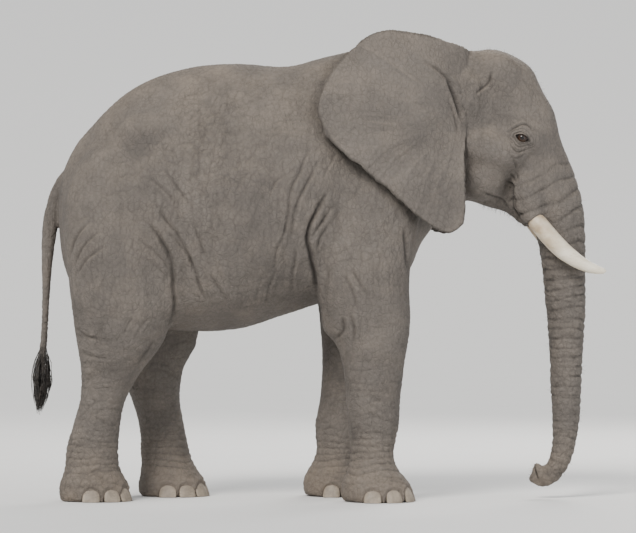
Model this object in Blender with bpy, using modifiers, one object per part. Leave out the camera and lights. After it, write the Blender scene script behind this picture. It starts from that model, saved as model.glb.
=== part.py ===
"""An adult African bush elephant, standing, at life size.

Metres, +Z up. The animal faces +X with its right side towards -Y, and its soles are on z = 0.
The flesh is modelled whole, from lofts and rounded masses joined by a voxel remesh, and is
then parted by thin flat cuts. Ears, eyes, tusks, nails and tail are solids of their own.
"""
import math

import bmesh
import bpy
import numpy as np
from mathutils import Matrix, Vector

GAP = 0.0003            # clearance between solids that meet
CLEARANCE = 0.0005      # how far the flesh is grown before it trims what stands on it
VOXEL = 0.014           # grain of the remesh that joins the flesh
SMOOTH_ROUNDS = 14      # of smoothing, after the remesh
SMOOTH_FACTOR = 0.5     # how far a round takes a point towards its neighbours' middle
FLOOR_BLOCK = (4, 2, 2) # the block that cuts the soles level, from the floor down
FLESH_TRIANGLES = 2700  # of the whole flesh, before it is parted
SHORT_EDGE = 0.026      # edges round a flat cut that are shorter than this are closed up
SHORT_EDGE_SHARE = 0.05  # the same, as a share of the piece's longest side
SHORT_EDGE_ROUNDS = 4
RING_POINTS = 32        # around a loft of flesh
LOFT_STEPS = 4          # rings between two given sections

# A section of a loft is the chord between two points of its side view, with its half width:
# (x, z) of the lower or rear point, (x, z) of the upper or front point, half width, middle y.
TORSO = [
    (-1.525, 1.66, -1.525, 1.80, 0.07, 0.0),
    (-1.500, 1.42, -1.500, 1.93, 0.19, 0.0),
    (-1.440, 1.24, -1.440, 2.06, 0.29, 0.0),
    (-1.320, 1.13, -1.320, 2.205, 0.37, 0.0),
    (-1.150, 1.06, -1.150, 2.373, 0.43, 0.0),
    (-0.950, 1.01, -0.950, 2.485, 0.49, 0.0),
    (-0.700, 0.985, -0.700, 2.548, 0.56, 0.0),
    (-0.450, 1.005, -0.450, 2.562, 0.61, 0.0),
    (-0.200, 1.085, -0.200, 2.541, 0.60, 0.0),
    (0.050, 1.160, 0.050, 2.600, 0.53, 0.0),
    (0.250, 1.190, 0.250, 2.648, 0.46, 0.0),
    (0.420, 1.240, 0.420, 2.650, 0.40, 0.0),
    (0.540, 1.360, 0.540, 2.600, 0.33, 0.0),
    (0.620, 1.560, 0.620, 2.500, 0.24, 0.0),
]
NECK = [
    (0.400, 1.330, 0.280, 2.655, 0.38, 0.0),
    (0.560, 1.455, 0.480, 2.630, 0.345, 0.0),
    (0.690, 1.620, 0.660, 2.600, 0.30, 0.0),
    (0.830, 1.740, 0.820, 2.605, 0.265, 0.0),
    (0.960, 1.790, 0.980, 2.600, 0.24, 0.0),
]
HEAD_AND_TRUNK = [
    (0.780, 2.30, 0.850, 2.610, 0.13, 0.0),
    (0.790, 2.12, 0.990, 2.655, 0.195, 0.0),
    (0.810, 1.97, 1.150, 2.612, 0.220, 0.0),
    (0.850, 1.87, 1.262, 2.528, 0.228, 0.0),
    (0.910, 1.83, 1.322, 2.398, 0.222, 0.0),
    (1.020, 1.83, 1.386, 2.294, 0.208, 0.0),
    (1.120, 1.85, 1.426, 2.140, 0.192, 0.0),
    (1.150, 1.79, 1.474, 2.010, 0.182, 0.0),
    (1.175, 1.73, 1.522, 1.882, 0.178, 0.0),
    (1.215, 1.675, 1.558, 1.760, 0.174, 0.0),
    (1.268, 1.600, 1.576, 1.617, 0.164, 0.0),
    (1.302, 1.481, 1.581, 1.487, 0.162, 0.0),
    (1.319, 1.369, 1.582, 1.370, 0.148, 0.0),
    (1.331, 1.216, 1.581, 1.220, 0.134, 0.0),
    (1.349, 1.034, 1.575, 1.034, 0.119, 0.0),
    (1.361, 0.828, 1.563, 0.820, 0.106, 0.0),
    (1.372, 0.616, 1.551, 0.612, 0.093, 0.0),
    (1.378, 0.470, 1.541, 0.452, 0.084, 0.0),
    (1.378, 0.339, 1.521, 0.318, 0.076, 0.0),
    (1.368, 0.262, 1.495, 0.222, 0.070, 0.0),
    (1.346, 0.204, 1.446, 0.134, 0.064, 0.0),
    (1.322, 0.181, 1.380, 0.078, 0.058, 0.0),
    (1.302, 0.186, 1.318, 0.064, 0.052, 0.0),
    (1.286, 0.200, 1.268, 0.098, 0.044, 0.0),
    (1.272, 0.190, 1.256, 0.135, 0.030, 0.0),
]
JAW = [
    (0.860, 1.770, 0.880, 2.02, 0.170, 0.0),
    (0.950, 1.738, 0.975, 1.98, 0.165, 0.0),
    (1.029, 1.713, 1.060, 1.93, 0.145, 0.0),
    (1.100, 1.692, 1.128, 1.875, 0.115, 0.0),
    (1.150, 1.658, 1.170, 1.770, 0.082, 0.0),
    (1.192, 1.620, 1.200, 1.690, 0.052, 0.0),
    (1.222, 1.612, 1.228, 1.652, 0.030, 0.0),
]
RIGHT_FORELEG = [
    (0.170, -0.05, 0.530, -0.05, 0.185, -0.285),
    (0.131, 0.04, 0.552, 0.04, 0.205, -0.285),
    (0.140, 0.126, 0.520, 0.126, 0.190, -0.285),
    (0.176, 0.205, 0.462, 0.205, 0.150, -0.285),
    (0.188, 0.270, 0.448, 0.270, 0.137, -0.287),
    (0.178, 0.360, 0.457, 0.360, 0.139, -0.290),
    (0.172, 0.450, 0.476, 0.450, 0.147, -0.293),
    (0.167, 0.560, 0.480, 0.560, 0.156, -0.297),
    (0.151, 0.708, 0.493, 0.708, 0.152, -0.300),
    (0.128, 0.859, 0.512, 0.859, 0.158, -0.302),
    (0.080, 0.960, 0.532, 0.960, 0.170, -0.304),
    (0.030, 1.090, 0.541, 1.090, 0.186, -0.306),
    (-0.015, 1.250, 0.532, 1.250, 0.195, -0.310),
    (-0.045, 1.450, 0.550, 1.450, 0.198, -0.312),
    (-0.045, 1.650, 0.590, 1.650, 0.195, -0.308),
    (0.000, 1.850, 0.600, 1.850, 0.180, -0.300),
    (0.060, 2.050, 0.560, 2.050, 0.155, -0.285),
    (0.130, 2.250, 0.480, 2.250, 0.120, -0.260),
    (0.200, 2.420, 0.400, 2.420, 0.080, -0.220),
]
LEFT_FORELEG = [
    (-0.055, -0.05, 0.290, -0.05, 0.185, 0.285),
    (-0.094, 0.04, 0.325, 0.04, 0.205, 0.285),
    (-0.083, 0.122, 0.292, 0.122, 0.190, 0.285),
    (-0.040, 0.195, 0.248, 0.195, 0.150, 0.285),
    (-0.012, 0.270, 0.246, 0.270, 0.137, 0.287),
    (-0.018, 0.360, 0.258, 0.360, 0.139, 0.290),
    (-0.016, 0.450, 0.284, 0.450, 0.147, 0.293),
    (0.006, 0.560, 0.316, 0.560, 0.156, 0.297),
    (0.019, 0.708, 0.356, 0.708, 0.152, 0.300),
    (0.024, 0.859, 0.402, 0.859, 0.158, 0.302),
    (0.015, 0.960, 0.448, 0.960, 0.170, 0.304),
    (0.005, 1.090, 0.500, 1.090, 0.186, 0.306),
    (-0.020, 1.250, 0.525, 1.250, 0.195, 0.310),
    (-0.045, 1.450, 0.548, 1.450, 0.198, 0.312),
    (-0.045, 1.650, 0.590, 1.650, 0.195, 0.308),
    (0.000, 1.850, 0.600, 1.850, 0.180, 0.300),
    (0.060, 2.050, 0.560, 2.050, 0.155, 0.285),
    (0.130, 2.250, 0.480, 2.250, 0.120, 0.260),
    (0.200, 2.420, 0.400, 2.420, 0.080, 0.220),
]
RIGHT_HIND_LEG = [
    (-1.475, -0.05, -1.130, -0.05, 0.150, -0.250),
    (-1.515, 0.040, -1.103, 0.040, 0.168, -0.250),
    (-1.507, 0.110, -1.112, 0.110, 0.160, -0.250),
    (-1.479, 0.195, -1.155, 0.195, 0.140, -0.252),
    (-1.477, 0.265, -1.164, 0.265, 0.132, -0.254),
    (-1.464, 0.345, -1.163, 0.345, 0.130, -0.257),
    (-1.430, 0.455, -1.151, 0.455, 0.132, -0.262),
    (-1.396, 0.560, -1.134, 0.560, 0.138, -0.266),
    (-1.380, 0.660, -1.090, 0.660, 0.150, -0.270),
    (-1.382, 0.766, -1.025, 0.766, 0.168, -0.276),
    (-1.394, 0.865, -0.938, 0.865, 0.184, -0.282),
    (-1.415, 0.993, -0.872, 0.993, 0.200, -0.288),
    (-1.432, 1.120, -0.846, 1.120, 0.212, -0.290),
    (-1.456, 1.324, -0.850, 1.324, 0.222, -0.285),
    (-1.482, 1.530, -0.880, 1.530, 0.226, -0.275),
    (-1.485, 1.700, -0.930, 1.700, 0.220, -0.260),
    (-1.440, 1.880, -0.960, 1.880, 0.200, -0.240),
    (-1.330, 2.060, -0.980, 2.060, 0.150, -0.210),
]
LEFT_HIND_LEG = [
    (-1.030, -0.05, -0.690, -0.05, 0.150, 0.250),
    (-1.072, 0.040, -0.664, 0.040, 0.168, 0.250),
    (-1.066, 0.110, -0.684, 0.110, 0.160, 0.250),
    (-1.054, 0.190, -0.738, 0.190, 0.140, 0.252),
    (-1.060, 0.265, -0.764, 0.265, 0.132, 0.254),
    (-1.061, 0.365, -0.787, 0.365, 0.130, 0.257),
    (-1.080, 0.480, -0.809, 0.480, 0.134, 0.262),
    (-1.113, 0.590, -0.823, 0.590, 0.142, 0.267),
    (-1.160, 0.690, -0.818, 0.690, 0.154, 0.272),
    (-1.210, 0.790, -0.792, 0.790, 0.172, 0.278),
    (-1.275, 0.880, -0.734, 0.880, 0.188, 0.284),
    (-1.345, 0.990, -0.706, 0.990, 0.202, 0.288),
    (-1.400, 1.120, -0.710, 1.120, 0.212, 0.290),
    (-1.450, 1.324, -0.760, 1.324, 0.222, 0.285),
    (-1.482, 1.530, -0.830, 1.530, 0.226, 0.275),
    (-1.485, 1.700, -0.910, 1.700, 0.220, 0.260),
    (-1.440, 1.880, -0.960, 1.880, 0.200, 0.240),
    (-1.330, 2.060, -0.980, 2.060, 0.150, 0.210),
]
TAIL = [
    (-1.440, 2.000, -1.400, 1.920, 0.050, 0.0),
    (-1.520, 1.915, -1.470, 1.860, 0.052, 0.0),
    (-1.577, 1.805, -1.500, 1.770, 0.048, 0.0),
    (-1.608, 1.700, -1.520, 1.680, 0.042, 0.0),
    (-1.625, 1.580, -1.540, 1.570, 0.037, 0.0),
    (-1.627, 1.405, -1.567, 1.403, 0.031, 0.0),
    (-1.627, 1.228, -1.580, 1.228, 0.025, 0.0),
    (-1.629, 1.050, -1.590, 1.050, 0.021, 0.0),
    (-1.640, 0.880, -1.602, 0.884, 0.019, 0.0),
    (-1.646, 0.800, -1.612, 0.804, 0.016, 0.0),
]
TAIL_TUFT = [
    (-1.642, 0.868, -1.604, 0.872, 0.019, 0.0),
    (-1.662, 0.810, -1.590, 0.818, 0.034, 0.0),
    (-1.690, 0.730, -1.566, 0.740, 0.042, 0.0),
    (-1.688, 0.650, -1.574, 0.656, 0.038, 0.0),
    (-1.676, 0.570, -1.604, 0.572, 0.024, 0.0),
    (-1.656, 0.495, -1.636, 0.495, 0.007, 0.0),
]
TUFT_TOP = 0.865        # where the tail's hair begins
TAIL_CUT = ((-1.75, 1.30), (-1.45, 1.30))
TAIL_BLOCK = 1.0        # the block that cuts the tail off at its hair, and the hair at its top
# A rounded mass: centre, radii, and its turn about the Y axis in degrees. Each has a twin
# on the left side.
MASSES = [
    ((1.000, -0.195, 2.050), (0.220, 0.130, 0.120), 14),    # cheekbone
    ((1.185, -0.150, 2.125), (0.150, 0.108, 0.130), 20),    # rim of the eye socket
    ((1.170, -0.145, 2.235), (0.130, 0.088, 0.065), 30),    # brow
    ((0.965, -0.155, 1.915), (0.140, 0.115, 0.165), 10),    # jaw muscle
    ((0.845, -0.180, 2.340), (0.140, 0.110, 0.190), 0),     # root of the ear
    ((1.050, -0.095, 2.460), (0.175, 0.125, 0.170), 0),     # crown
    ((0.900, -0.070, 2.455), (0.190, 0.125, 0.188), 0),     # nape
    ((1.238, -0.140, 1.790), (0.100, 0.090, 0.190), -12),   # socket of the tusk
    ((0.095, -0.305, 1.045), (0.080, 0.110, 0.095), 0),     # point of the elbow
    ((0.310, -0.310, 2.080), (0.150, 0.120, 0.330), 15),    # shoulder blade
    ((0.420, -0.330, 1.560), (0.150, 0.130, 0.190), 0),     # point of the shoulder
    ((-0.980, -0.290, 2.120), (0.190, 0.130, 0.160), 0),    # hip bone
    ((-0.960, -0.320, 1.180), (0.140, 0.120, 0.190), 10),   # stifle
    ((1.262, 0.0, 0.113), (0.030, 0.030, 0.024), 20),       # lower finger of the trunk
    ((1.288, 0.0, 0.198), (0.026, 0.030, 0.022), -30),      # upper finger of the trunk
]
# Where the flesh is softened most: behind the first x and above the first z, in full from
# the second ones.
SOFT_X = (0.80, 0.55)
SOFT_Z = (0.45, 0.80)
HEAD_SOFTNESS = 0.4     # of that in full, above the first z below
HEAD_Z = (1.70, 1.90)
SOFT_ROUNDS = 60
SOFT_LEVELS = 10        # steps between the parts left alone and those softened in full
SOFT_LOSS = 0.005       # what that takes off the surface
EYE_RADIUS = 0.035
EYE = (1.192, 0.232, 2.120)
EYE_SEGMENTS = 10

TUSK = [
    # x, z, y and radius along the middle of the right tusk
    (1.215, 1.740, -0.125, 0.040),
    (1.250, 1.675, -0.148, 0.048),
    (1.303, 1.605, -0.178, 0.053),
    (1.368, 1.527, -0.200, 0.053),
    (1.440, 1.455, -0.214, 0.050),
    (1.480, 1.425, -0.220, 0.046),
    (1.520, 1.398, -0.224, 0.041),
    (1.600, 1.360, -0.230, 0.030),
    (1.655, 1.345, -0.232, 0.020),
    (1.677, 1.342, -0.232, 0.011),
    (1.684, 1.341, -0.232, 0.004),
]
TUSK_POINTS = 8

# The outline of the ear in side view, from the front of its top edge round the back to the
# foot of the lobe. Its top and front edges are the first and the last line from root to edge.
EAR_OUTLINE = [
    (0.687, 2.703), (0.560, 2.731), (0.430, 2.741), (0.317, 2.724), (0.205, 2.640),
    (0.118, 2.548), (0.058, 2.462), (0.020, 2.385), (-0.003, 2.300), (0.035, 2.165),
    (0.125, 2.045), (0.270, 1.925), (0.420, 1.807), (0.560, 1.672), (0.665, 1.600),
    (0.768, 1.565), (0.836, 1.610), (0.853, 1.700),
]
EAR_ROOT = [(0.868, 2.636), (0.872, 2.440), (0.858, 2.290), (0.850, 2.150)]
EAR_ROOT_Y = (0.130, 0.285)     # of the top and the foot of the root
EAR_ROWS = 4
EAR_COLUMNS = 23
EAR_LINE_STEPS = 6      # points of a smooth line, per point of the outline or the root
EAR_SPREAD = 0.345      # how far the back edge stands out beyond the root
EAR_SPREAD_LENGTH = 0.26
EAR_UPRIGHT = 3         # how much slower the ear leaves the body upwards than backwards
EAR_MIDDLE_Z = 2.22     # the height where the ear stands out most
EAR_BOW = 0.75          # share of the spread lost at a metre above or below that
EAR_HANG = 0.045        # how far the front edge below the root stands out
EAR_HANG_HEIGHT = 0.3   # below the root, where that is in full
EAR_HANG_RISE = 3       # how fast it comes in from the root to the edge
EAR_THICKNESS = 0.030
EAR_EDGE_SHARE = 0.55   # of the thickness, at the edge
EAR_SINK = 0.060        # of the root inside the head
EAR_SCALLOPS = 5        # waves of the back edge
EAR_SCALLOP_DEPTH = 0.006
EAR_WAVE = 0.012        # how far the same waves swing in and out

# Angles of the nails round each foot, from straight ahead towards the animal's right.
FEET = {
    "right_forefoot": (RIGHT_FORELEG, (97, 61, 25, -11, -47)),
    "left_forefoot": (LEFT_FORELEG, (100, 63, 27, -9, -45)),
    "right_hind_foot": (RIGHT_HIND_LEG, (92, 56, 22, -12, -46)),
    "left_hind_foot": (LEFT_HIND_LEG, (96, 62, 29, -5, -40)),
}
NAIL_HALF_WIDTH = 0.052
NAIL_HEIGHT = 0.078
NAIL_DEPTH = 0.016
NAIL_LIFT = 0.002       # between the lowest point of a nail and the floor
NAIL_MIDDLE = 0.42      # height of a nail's middle, as a share of its height
NAIL_RISE = 0.55        # its half height, as the same share
NAIL_LEAN = 18          # degrees that its top leans back
NAIL_SEGMENTS = 8

# A cut is flat and crosses the whole width: (x, z) of one end to (x, z) of the other.
CUTS = [
    (0.720, 1.280, 0.330, 2.800),      # neck from chest
    (0.865, 1.600, 0.790, 2.800),      # head from neck
    (-0.095, 1.020, -0.095, 2.760),    # chest from belly
    (-0.600, 0.900, -0.950, 2.700),    # belly from hips
    (-0.200, 1.075, 0.720, 1.075),     # forelegs from chest
    (-0.200, 0.560, 0.720, 0.560),     # at the wrists
    (-0.200, 0.215, 0.720, 0.215),     # forefeet
    (-1.650, 0.940, -0.560, 0.940),    # hind legs from hips
    (-1.560, 0.600, -0.560, 0.600),    # at the hocks
    (-1.560, 0.215, -0.560, 0.215),    # hind feet
    (1.180, 1.490, 1.700, 1.490),      # trunk from head
    (1.180, 1.120, 1.700, 1.120),
    (1.180, 0.740, 1.700, 0.740),
    (1.180, 0.380, 1.700, 0.380),
    (1.410, 0.010, 1.295, 0.245),      # the curled tip
    (1.2505, 1.600, 1.124, 1.888),     # along the mouth
    (1.140, 1.880, 0.700, 1.835),      # lower jaw from head
]
CUT_WIDTH = 1.6

# Each node of flesh, with a point near its middle.
FLESH_NODES = {
    "head": (1.16, 0.0, 2.15),
    "lower_jaw": (1.03, 0.0, 1.79),
    "neck": (0.72, 0.0, 2.10),
    "chest": (0.25, 0.0, 1.85),
    "belly": (-0.45, 0.0, 1.78),
    "hips": (-1.15, 0.0, 1.62),
    "trunk_upper": (1.45, 0.0, 1.30),
    "trunk_middle": (1.46, 0.0, 0.93),
    "trunk_lower": (1.46, 0.0, 0.56),
    "trunk_bend": (1.43, 0.0, 0.25),
    "trunk_tip": (1.31, 0.0, 0.13),
    "right_upper_foreleg": (0.31, -0.30, 0.82),
    "right_lower_foreleg": (0.32, -0.29, 0.38),
    "right_forefoot": (0.34, -0.285, 0.10),
    "left_upper_foreleg": (0.22, 0.30, 0.82),
    "left_lower_foreleg": (0.13, 0.29, 0.38),
    "left_forefoot": (0.11, 0.285, 0.10),
    "right_upper_hind_leg": (-1.20, -0.28, 0.77),
    "right_lower_hind_leg": (-1.29, -0.26, 0.41),
    "right_hind_foot": (-1.31, -0.25, 0.10),
    "left_upper_hind_leg": (-1.00, 0.28, 0.77),
    "left_lower_hind_leg": (-0.94, 0.26, 0.41),
    "left_hind_foot": (-0.87, 0.25, 0.10),
}


def clear_scene():
    for obj in list(bpy.data.objects):
        bpy.data.objects.remove(obj, do_unlink=True)


def make_collection(name, hidden=False):
    collection = bpy.data.collections.new(name)
    collection.hide_render = hidden
    bpy.context.scene.collection.children.link(collection)
    return collection


def make_material(name, colour, roughness):
    material = bpy.data.materials.new(name)
    material.use_nodes = True
    shader = material.node_tree.nodes["Principled BSDF"]
    shader.inputs["Base Color"].default_value = (*colour, 1.0)
    shader.inputs["Roughness"].default_value = roughness
    shader.inputs["Metallic"].default_value = 0.0
    return material


def spline(rows, steps):
    """Rows of numbers, smoothly interpolated by their distance apart in the first columns."""
    rows = np.array(rows, float)
    middles = (rows[:, 0:2] + rows[:, 2:4]) / 2 if rows.shape[1] > 4 else rows[:, 0:2]
    lengths = np.linalg.norm(np.diff(middles, axis=0), axis=1)[:, None]
    slopes = np.diff(rows, axis=0) / lengths
    tangents = np.vstack([
        slopes[:1],
        (slopes[:-1] * lengths[1:] + slopes[1:] * lengths[:-1]) / (lengths[1:] + lengths[:-1]),
        slopes[-1:],
    ])
    result = []
    for start, end, here, there, length in zip(rows, rows[1:], tangents, tangents[1:], lengths):
        for t in np.arange(steps) / steps:
            result.append(
                (2 * t**3 - 3 * t**2 + 1) * start
                + (t**3 - 2 * t**2 + t) * length * here
                + (3 * t**2 - 2 * t**3) * end
                + (t**3 - t**2) * length * there
            )
    result.append(rows[-1])
    return np.array(result)


def bridge(mesh, rings):
    """Skins a row of rings of equal count into one closed body."""
    loops = [[mesh.verts.new(point) for point in ring] for ring in rings]
    for near, far in zip(loops, loops[1:]):
        for i, vertex in enumerate(near):
            j = (i + 1) % len(near)
            mesh.faces.new((vertex, near[j], far[j], far[i]))
    mesh.faces.new(loops[0])
    mesh.faces.new(reversed(loops[-1]))


def section(row, points, wide, low_power, high_power):
    """One ring of a loft. wide is where along the chord the section is at its widest."""
    rear = Vector((row[0], row[5], row[1]))
    chord = Vector((row[2], row[5], row[3])) - rear
    ring = []
    for turn in np.linspace(0, 2 * math.pi, points, endpoint=False):
        along, side = math.cos(turn), math.sin(turn)
        power = 2 / (high_power if along > 0 else low_power)
        along = math.copysign(abs(along) ** power, along) * (1 - wide if along > 0 else wide)
        side = math.copysign(abs(side) ** power, side) * row[4]
        ring.append(rear + chord * (wide + along) + Vector((0, side, 0)))
    return ring


def add_loft(mesh, rows, points=RING_POINTS, steps=LOFT_STEPS, wide=0.5, low_power=2.0,
             high_power=2.0):
    bridge(mesh, [section(row, points, wide, low_power, high_power)
                  for row in spline(rows, steps)])


def add_mass(mesh, centre, radii, turn):
    """An ellipsoid on each side of the animal, or a single one on its middle plane."""
    for side in (1, -1) if centre[1] else (1,):
        place = Matrix.Translation((centre[0], side * centre[1], centre[2]))
        place = place @ Matrix.Rotation(math.radians(turn), 4, "Y") @ Matrix.Diagonal((*radii, 1))
        bmesh.ops.create_icosphere(mesh, subdivisions=3, radius=1, matrix=place)


def object_from(mesh, name, collection, material=None):
    bmesh.ops.recalc_face_normals(mesh, faces=mesh.faces)
    data = bpy.data.meshes.new(name)
    mesh.to_mesh(data)
    mesh.free()
    obj = bpy.data.objects.new(name, data)
    collection.objects.link(obj)
    if material:
        data.materials.append(material)
    return obj


def apply_modifiers(obj):
    bpy.context.view_layer.update()
    graph = bpy.context.evaluated_depsgraph_get()
    shaped = bpy.data.meshes.new_from_object(obj.evaluated_get(graph))
    obj.modifiers.clear()
    obj.data = shaped


def make_flat_faces(obj):
    """Splits every face of a closed mesh into triangles that face out."""
    mesh = bmesh.new()
    mesh.from_mesh(obj.data)
    bmesh.ops.triangulate(mesh, faces=mesh.faces)
    bmesh.ops.recalc_face_normals(mesh, faces=mesh.faces)
    mesh.to_mesh(obj.data)
    mesh.free()


def cut_away(obj, cutter):
    """Takes the cutter out of the object, and applies the result."""
    boolean = obj.modifiers.new("cut", "BOOLEAN")
    boolean.operation = "DIFFERENCE"
    boolean.solver = "EXACT"
    boolean.object = cutter
    apply_modifiers(obj)


def guide(obj):
    obj.hide_render = True
    obj.display_type = "WIRE"
    return obj


def soften_body(flesh):
    """Blends the trunk of the body into the neck and the upper legs."""
    points = np.array([v.co for v in flesh.data.vertices])
    share = np.clip((points[:, 0] - SOFT_X[0]) / (SOFT_X[1] - SOFT_X[0]), 0, 1)
    share *= np.clip((points[:, 2] - SOFT_Z[0]) / (SOFT_Z[1] - SOFT_Z[0]), 0, 1)
    head = HEAD_SOFTNESS * np.clip((points[:, 2] - HEAD_Z[0]) / (HEAD_Z[1] - HEAD_Z[0]), 0, 1)
    share = np.maximum(share, head)
    group = flesh.vertex_groups.new(name="body")
    levels = np.round(share * SOFT_LEVELS).astype(int)
    for level in range(1, SOFT_LEVELS + 1):
        group.add(np.flatnonzero(levels == level).tolist(), level / SOFT_LEVELS, "REPLACE")
    smooth = flesh.modifiers.new("blend", "SMOOTH")
    smooth.factor = SMOOTH_FACTOR
    smooth.iterations = SOFT_ROUNDS
    smooth.vertex_group = group.name
    refill = flesh.modifiers.new("refill", "DISPLACE")
    refill.strength = SOFT_LOSS
    refill.mid_level = 0
    refill.vertex_group = group.name
    apply_modifiers(flesh)


def make_flesh(collection):
    """The whole body without ears, eyes, tusks, nails or tail, as one closed mesh."""
    mesh = bmesh.new()
    add_loft(mesh, TORSO, wide=0.44, low_power=2.3, high_power=1.9)
    add_loft(mesh, NECK, low_power=2.1, high_power=2.1)
    add_loft(mesh, HEAD_AND_TRUNK, wide=0.48, low_power=2.1, high_power=2.2)
    add_loft(mesh, JAW, high_power=2.2)
    for leg in (RIGHT_FORELEG, LEFT_FORELEG, RIGHT_HIND_LEG, LEFT_HIND_LEG):
        add_loft(mesh, leg, low_power=2.1, high_power=2.1)
    for centre, radii, turn in MASSES:
        add_mass(mesh, centre, radii, turn)
    flesh = object_from(mesh, "flesh", collection)
    remesh = flesh.modifiers.new("join", "REMESH")
    remesh.mode = "VOXEL"
    remesh.voxel_size = VOXEL
    smooth = flesh.modifiers.new("soften", "SMOOTH")
    smooth.factor = SMOOTH_FACTOR
    smooth.iterations = SMOOTH_ROUNDS
    apply_modifiers(flesh)
    soften_body(flesh)
    floor = bmesh.new()
    bmesh.ops.create_cube(floor, size=1, matrix=Matrix.Translation((0, 0, -FLOOR_BLOCK[2] / 2))
                          @ Matrix.Diagonal((*FLOOR_BLOCK, 1)))
    floor = guide(object_from(floor, "floor_cutter", collection))
    triangles = 2 * len(flesh.data.polygons)
    decimate = flesh.modifiers.new("lighten", "DECIMATE")
    decimate.ratio = FLESH_TRIANGLES / triangles
    apply_modifiers(flesh)
    cut_away(flesh, floor)
    return guide(flesh)


def close_short_edges(obj):
    """Closes up the short edges that a cut leaves round its flat face."""
    short = min(SHORT_EDGE, SHORT_EDGE_SHARE * max(obj.dimensions))
    mesh = bmesh.new()
    mesh.from_mesh(obj.data)
    for _ in range(SHORT_EDGE_ROUNDS):
        edges = {edge for face in mesh.faces if len(face.verts) > 4 for edge in face.edges}
        for edge in sorted(edges, key=lambda edge: (edge.calc_length(), edge.index)):
            if not edge.is_valid or edge.calc_length() > short:
                continue
            near, far = [{link.other_vert(end) for link in end.link_edges} for end in edge.verts]
            if len(near & far) == 1:
                middle = (edge.verts[0].co + edge.verts[1].co) / 2
                bmesh.ops.pointmerge(mesh, verts=list(edge.verts), merge_co=middle)
        mesh.edges.index_update()
    bmesh.ops.triangulate(mesh, faces=mesh.faces)
    mesh.to_mesh(obj.data)
    mesh.free()


def trim(obj, names, cutters):
    """Cuts an object back to just clear of the named pieces of flesh."""
    make_flat_faces(obj)
    for name in names:
        flesh = bpy.data.objects[name]
        copy = bpy.data.objects.new(name + "_grown", flesh.data.copy())
        cutters.objects.link(copy)
        displace = copy.modifiers.new("grow", "DISPLACE")
        displace.strength = CLEARANCE
        displace.mid_level = 0
        apply_modifiers(copy)
        cut_away(obj, guide(copy))


def slab(start, end, collection):
    """A cutter as thin as the gap, between two points of the side view."""
    along = Vector((end[0] - start[0], 0, end[1] - start[1]))
    middle = Vector(((end[0] + start[0]) / 2, 0, (end[1] + start[1]) / 2))
    side = Vector((0, 1, 0))
    axes = (along.normalized(), side, along.normalized().cross(side))
    turn = Matrix(axes).transposed().to_4x4()
    mesh = bmesh.new()
    size = Matrix.Diagonal((along.length, CUT_WIDTH, GAP, 1))
    bmesh.ops.create_cube(mesh, size=1, matrix=Matrix.Translation(middle) @ turn @ size)
    return guide(object_from(mesh, "cutter", collection))


def loose_parts(obj):
    """Splits an object into its separate bodies, and gives them as objects."""
    home = obj.users_collection[0]
    before = set(home.objects)
    for other in bpy.context.selected_objects:
        other.select_set(False)
    obj.select_set(True)
    bpy.context.view_layer.objects.active = obj
    bpy.ops.mesh.separate(type="LOOSE")
    return [obj, *(set(home.objects) - before)]


def box_middle(obj):
    corners = np.array(obj.bound_box)
    return (corners.min(axis=0) + corners.max(axis=0)) / 2


def settle(obj, name, collection, material):
    """Makes a helper's piece a node."""
    for old in obj.users_collection:
        old.objects.unlink(obj)
    collection.objects.link(obj)
    obj.name = obj.data.name = name
    obj.hide_render = False
    obj.display_type = "TEXTURED"
    obj.data.materials.clear()
    obj.data.materials.append(material)


def part_flesh(flesh, collection, cutters, material):
    """Parts the flesh at the cuts, and names each piece by the point that it is nearest to."""
    for row in CUTS:
        cut_away(flesh, slab(row[:2], row[2:], cutters))
    middles = {piece: box_middle(piece) for piece in loose_parts(flesh)}
    for name, point in FLESH_NODES.items():
        nearest = min(middles, key=lambda piece: np.linalg.norm(middles[piece] - point))
        middles.pop(nearest)
        close_short_edges(nearest)
        settle(nearest, name, collection, material)
    if middles:
        raise ValueError(f"{len(middles)} pieces of flesh have no name: {list(middles.values())}")


def make_eyes(collection, cutters, material):
    for side, name in ((-1, "right_eye"), (1, "left_eye")):
        place = Matrix.Translation((EYE[0], side * EYE[1], EYE[2]))
        for radius, where in ((EYE_RADIUS, collection), (EYE_RADIUS + GAP, cutters)):
            mesh = bmesh.new()
            bmesh.ops.create_uvsphere(mesh, u_segments=EYE_SEGMENTS, v_segments=EYE_SEGMENTS // 2,
                                      radius=radius, matrix=place)
            eye = object_from(mesh, name, where, material)
        cut_away(collection.objects["head"], guide(eye))


def make_tusks(collection, cutters, material):
    path = spline(TUSK, 1)
    for side, name in ((1, "right_tusk"), (-1, "left_tusk")):
        middles = [Vector((x, side * y, z)) for x, z, y, _ in path]
        rings = []
        for i, (middle, row) in enumerate(zip(middles, path)):
            ahead = middles[min(i + 1, len(middles) - 1)] - middles[max(i - 1, 0)]
            turn = ahead.to_track_quat("Z", "Y").to_matrix()
            rings.append([
                middle + turn @ Vector((row[3] * math.cos(a), row[3] * math.sin(a), 0))
                for a in np.linspace(0, 2 * math.pi, TUSK_POINTS, endpoint=False)
            ])
        mesh = bmesh.new()
        bridge(mesh, rings)
        tusk = object_from(mesh, name, collection, material)
        trim(tusk, ("head", "lower_jaw", "trunk_upper"), cutters)


def at_share(line, share):
    """The point of a polyline that lies this share of the way along it."""
    lengths = np.concatenate([[0], np.cumsum(np.linalg.norm(np.diff(line, axis=0), axis=1))])
    return np.array([np.interp(share * lengths[-1], lengths, column) for column in line.T])


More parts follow.
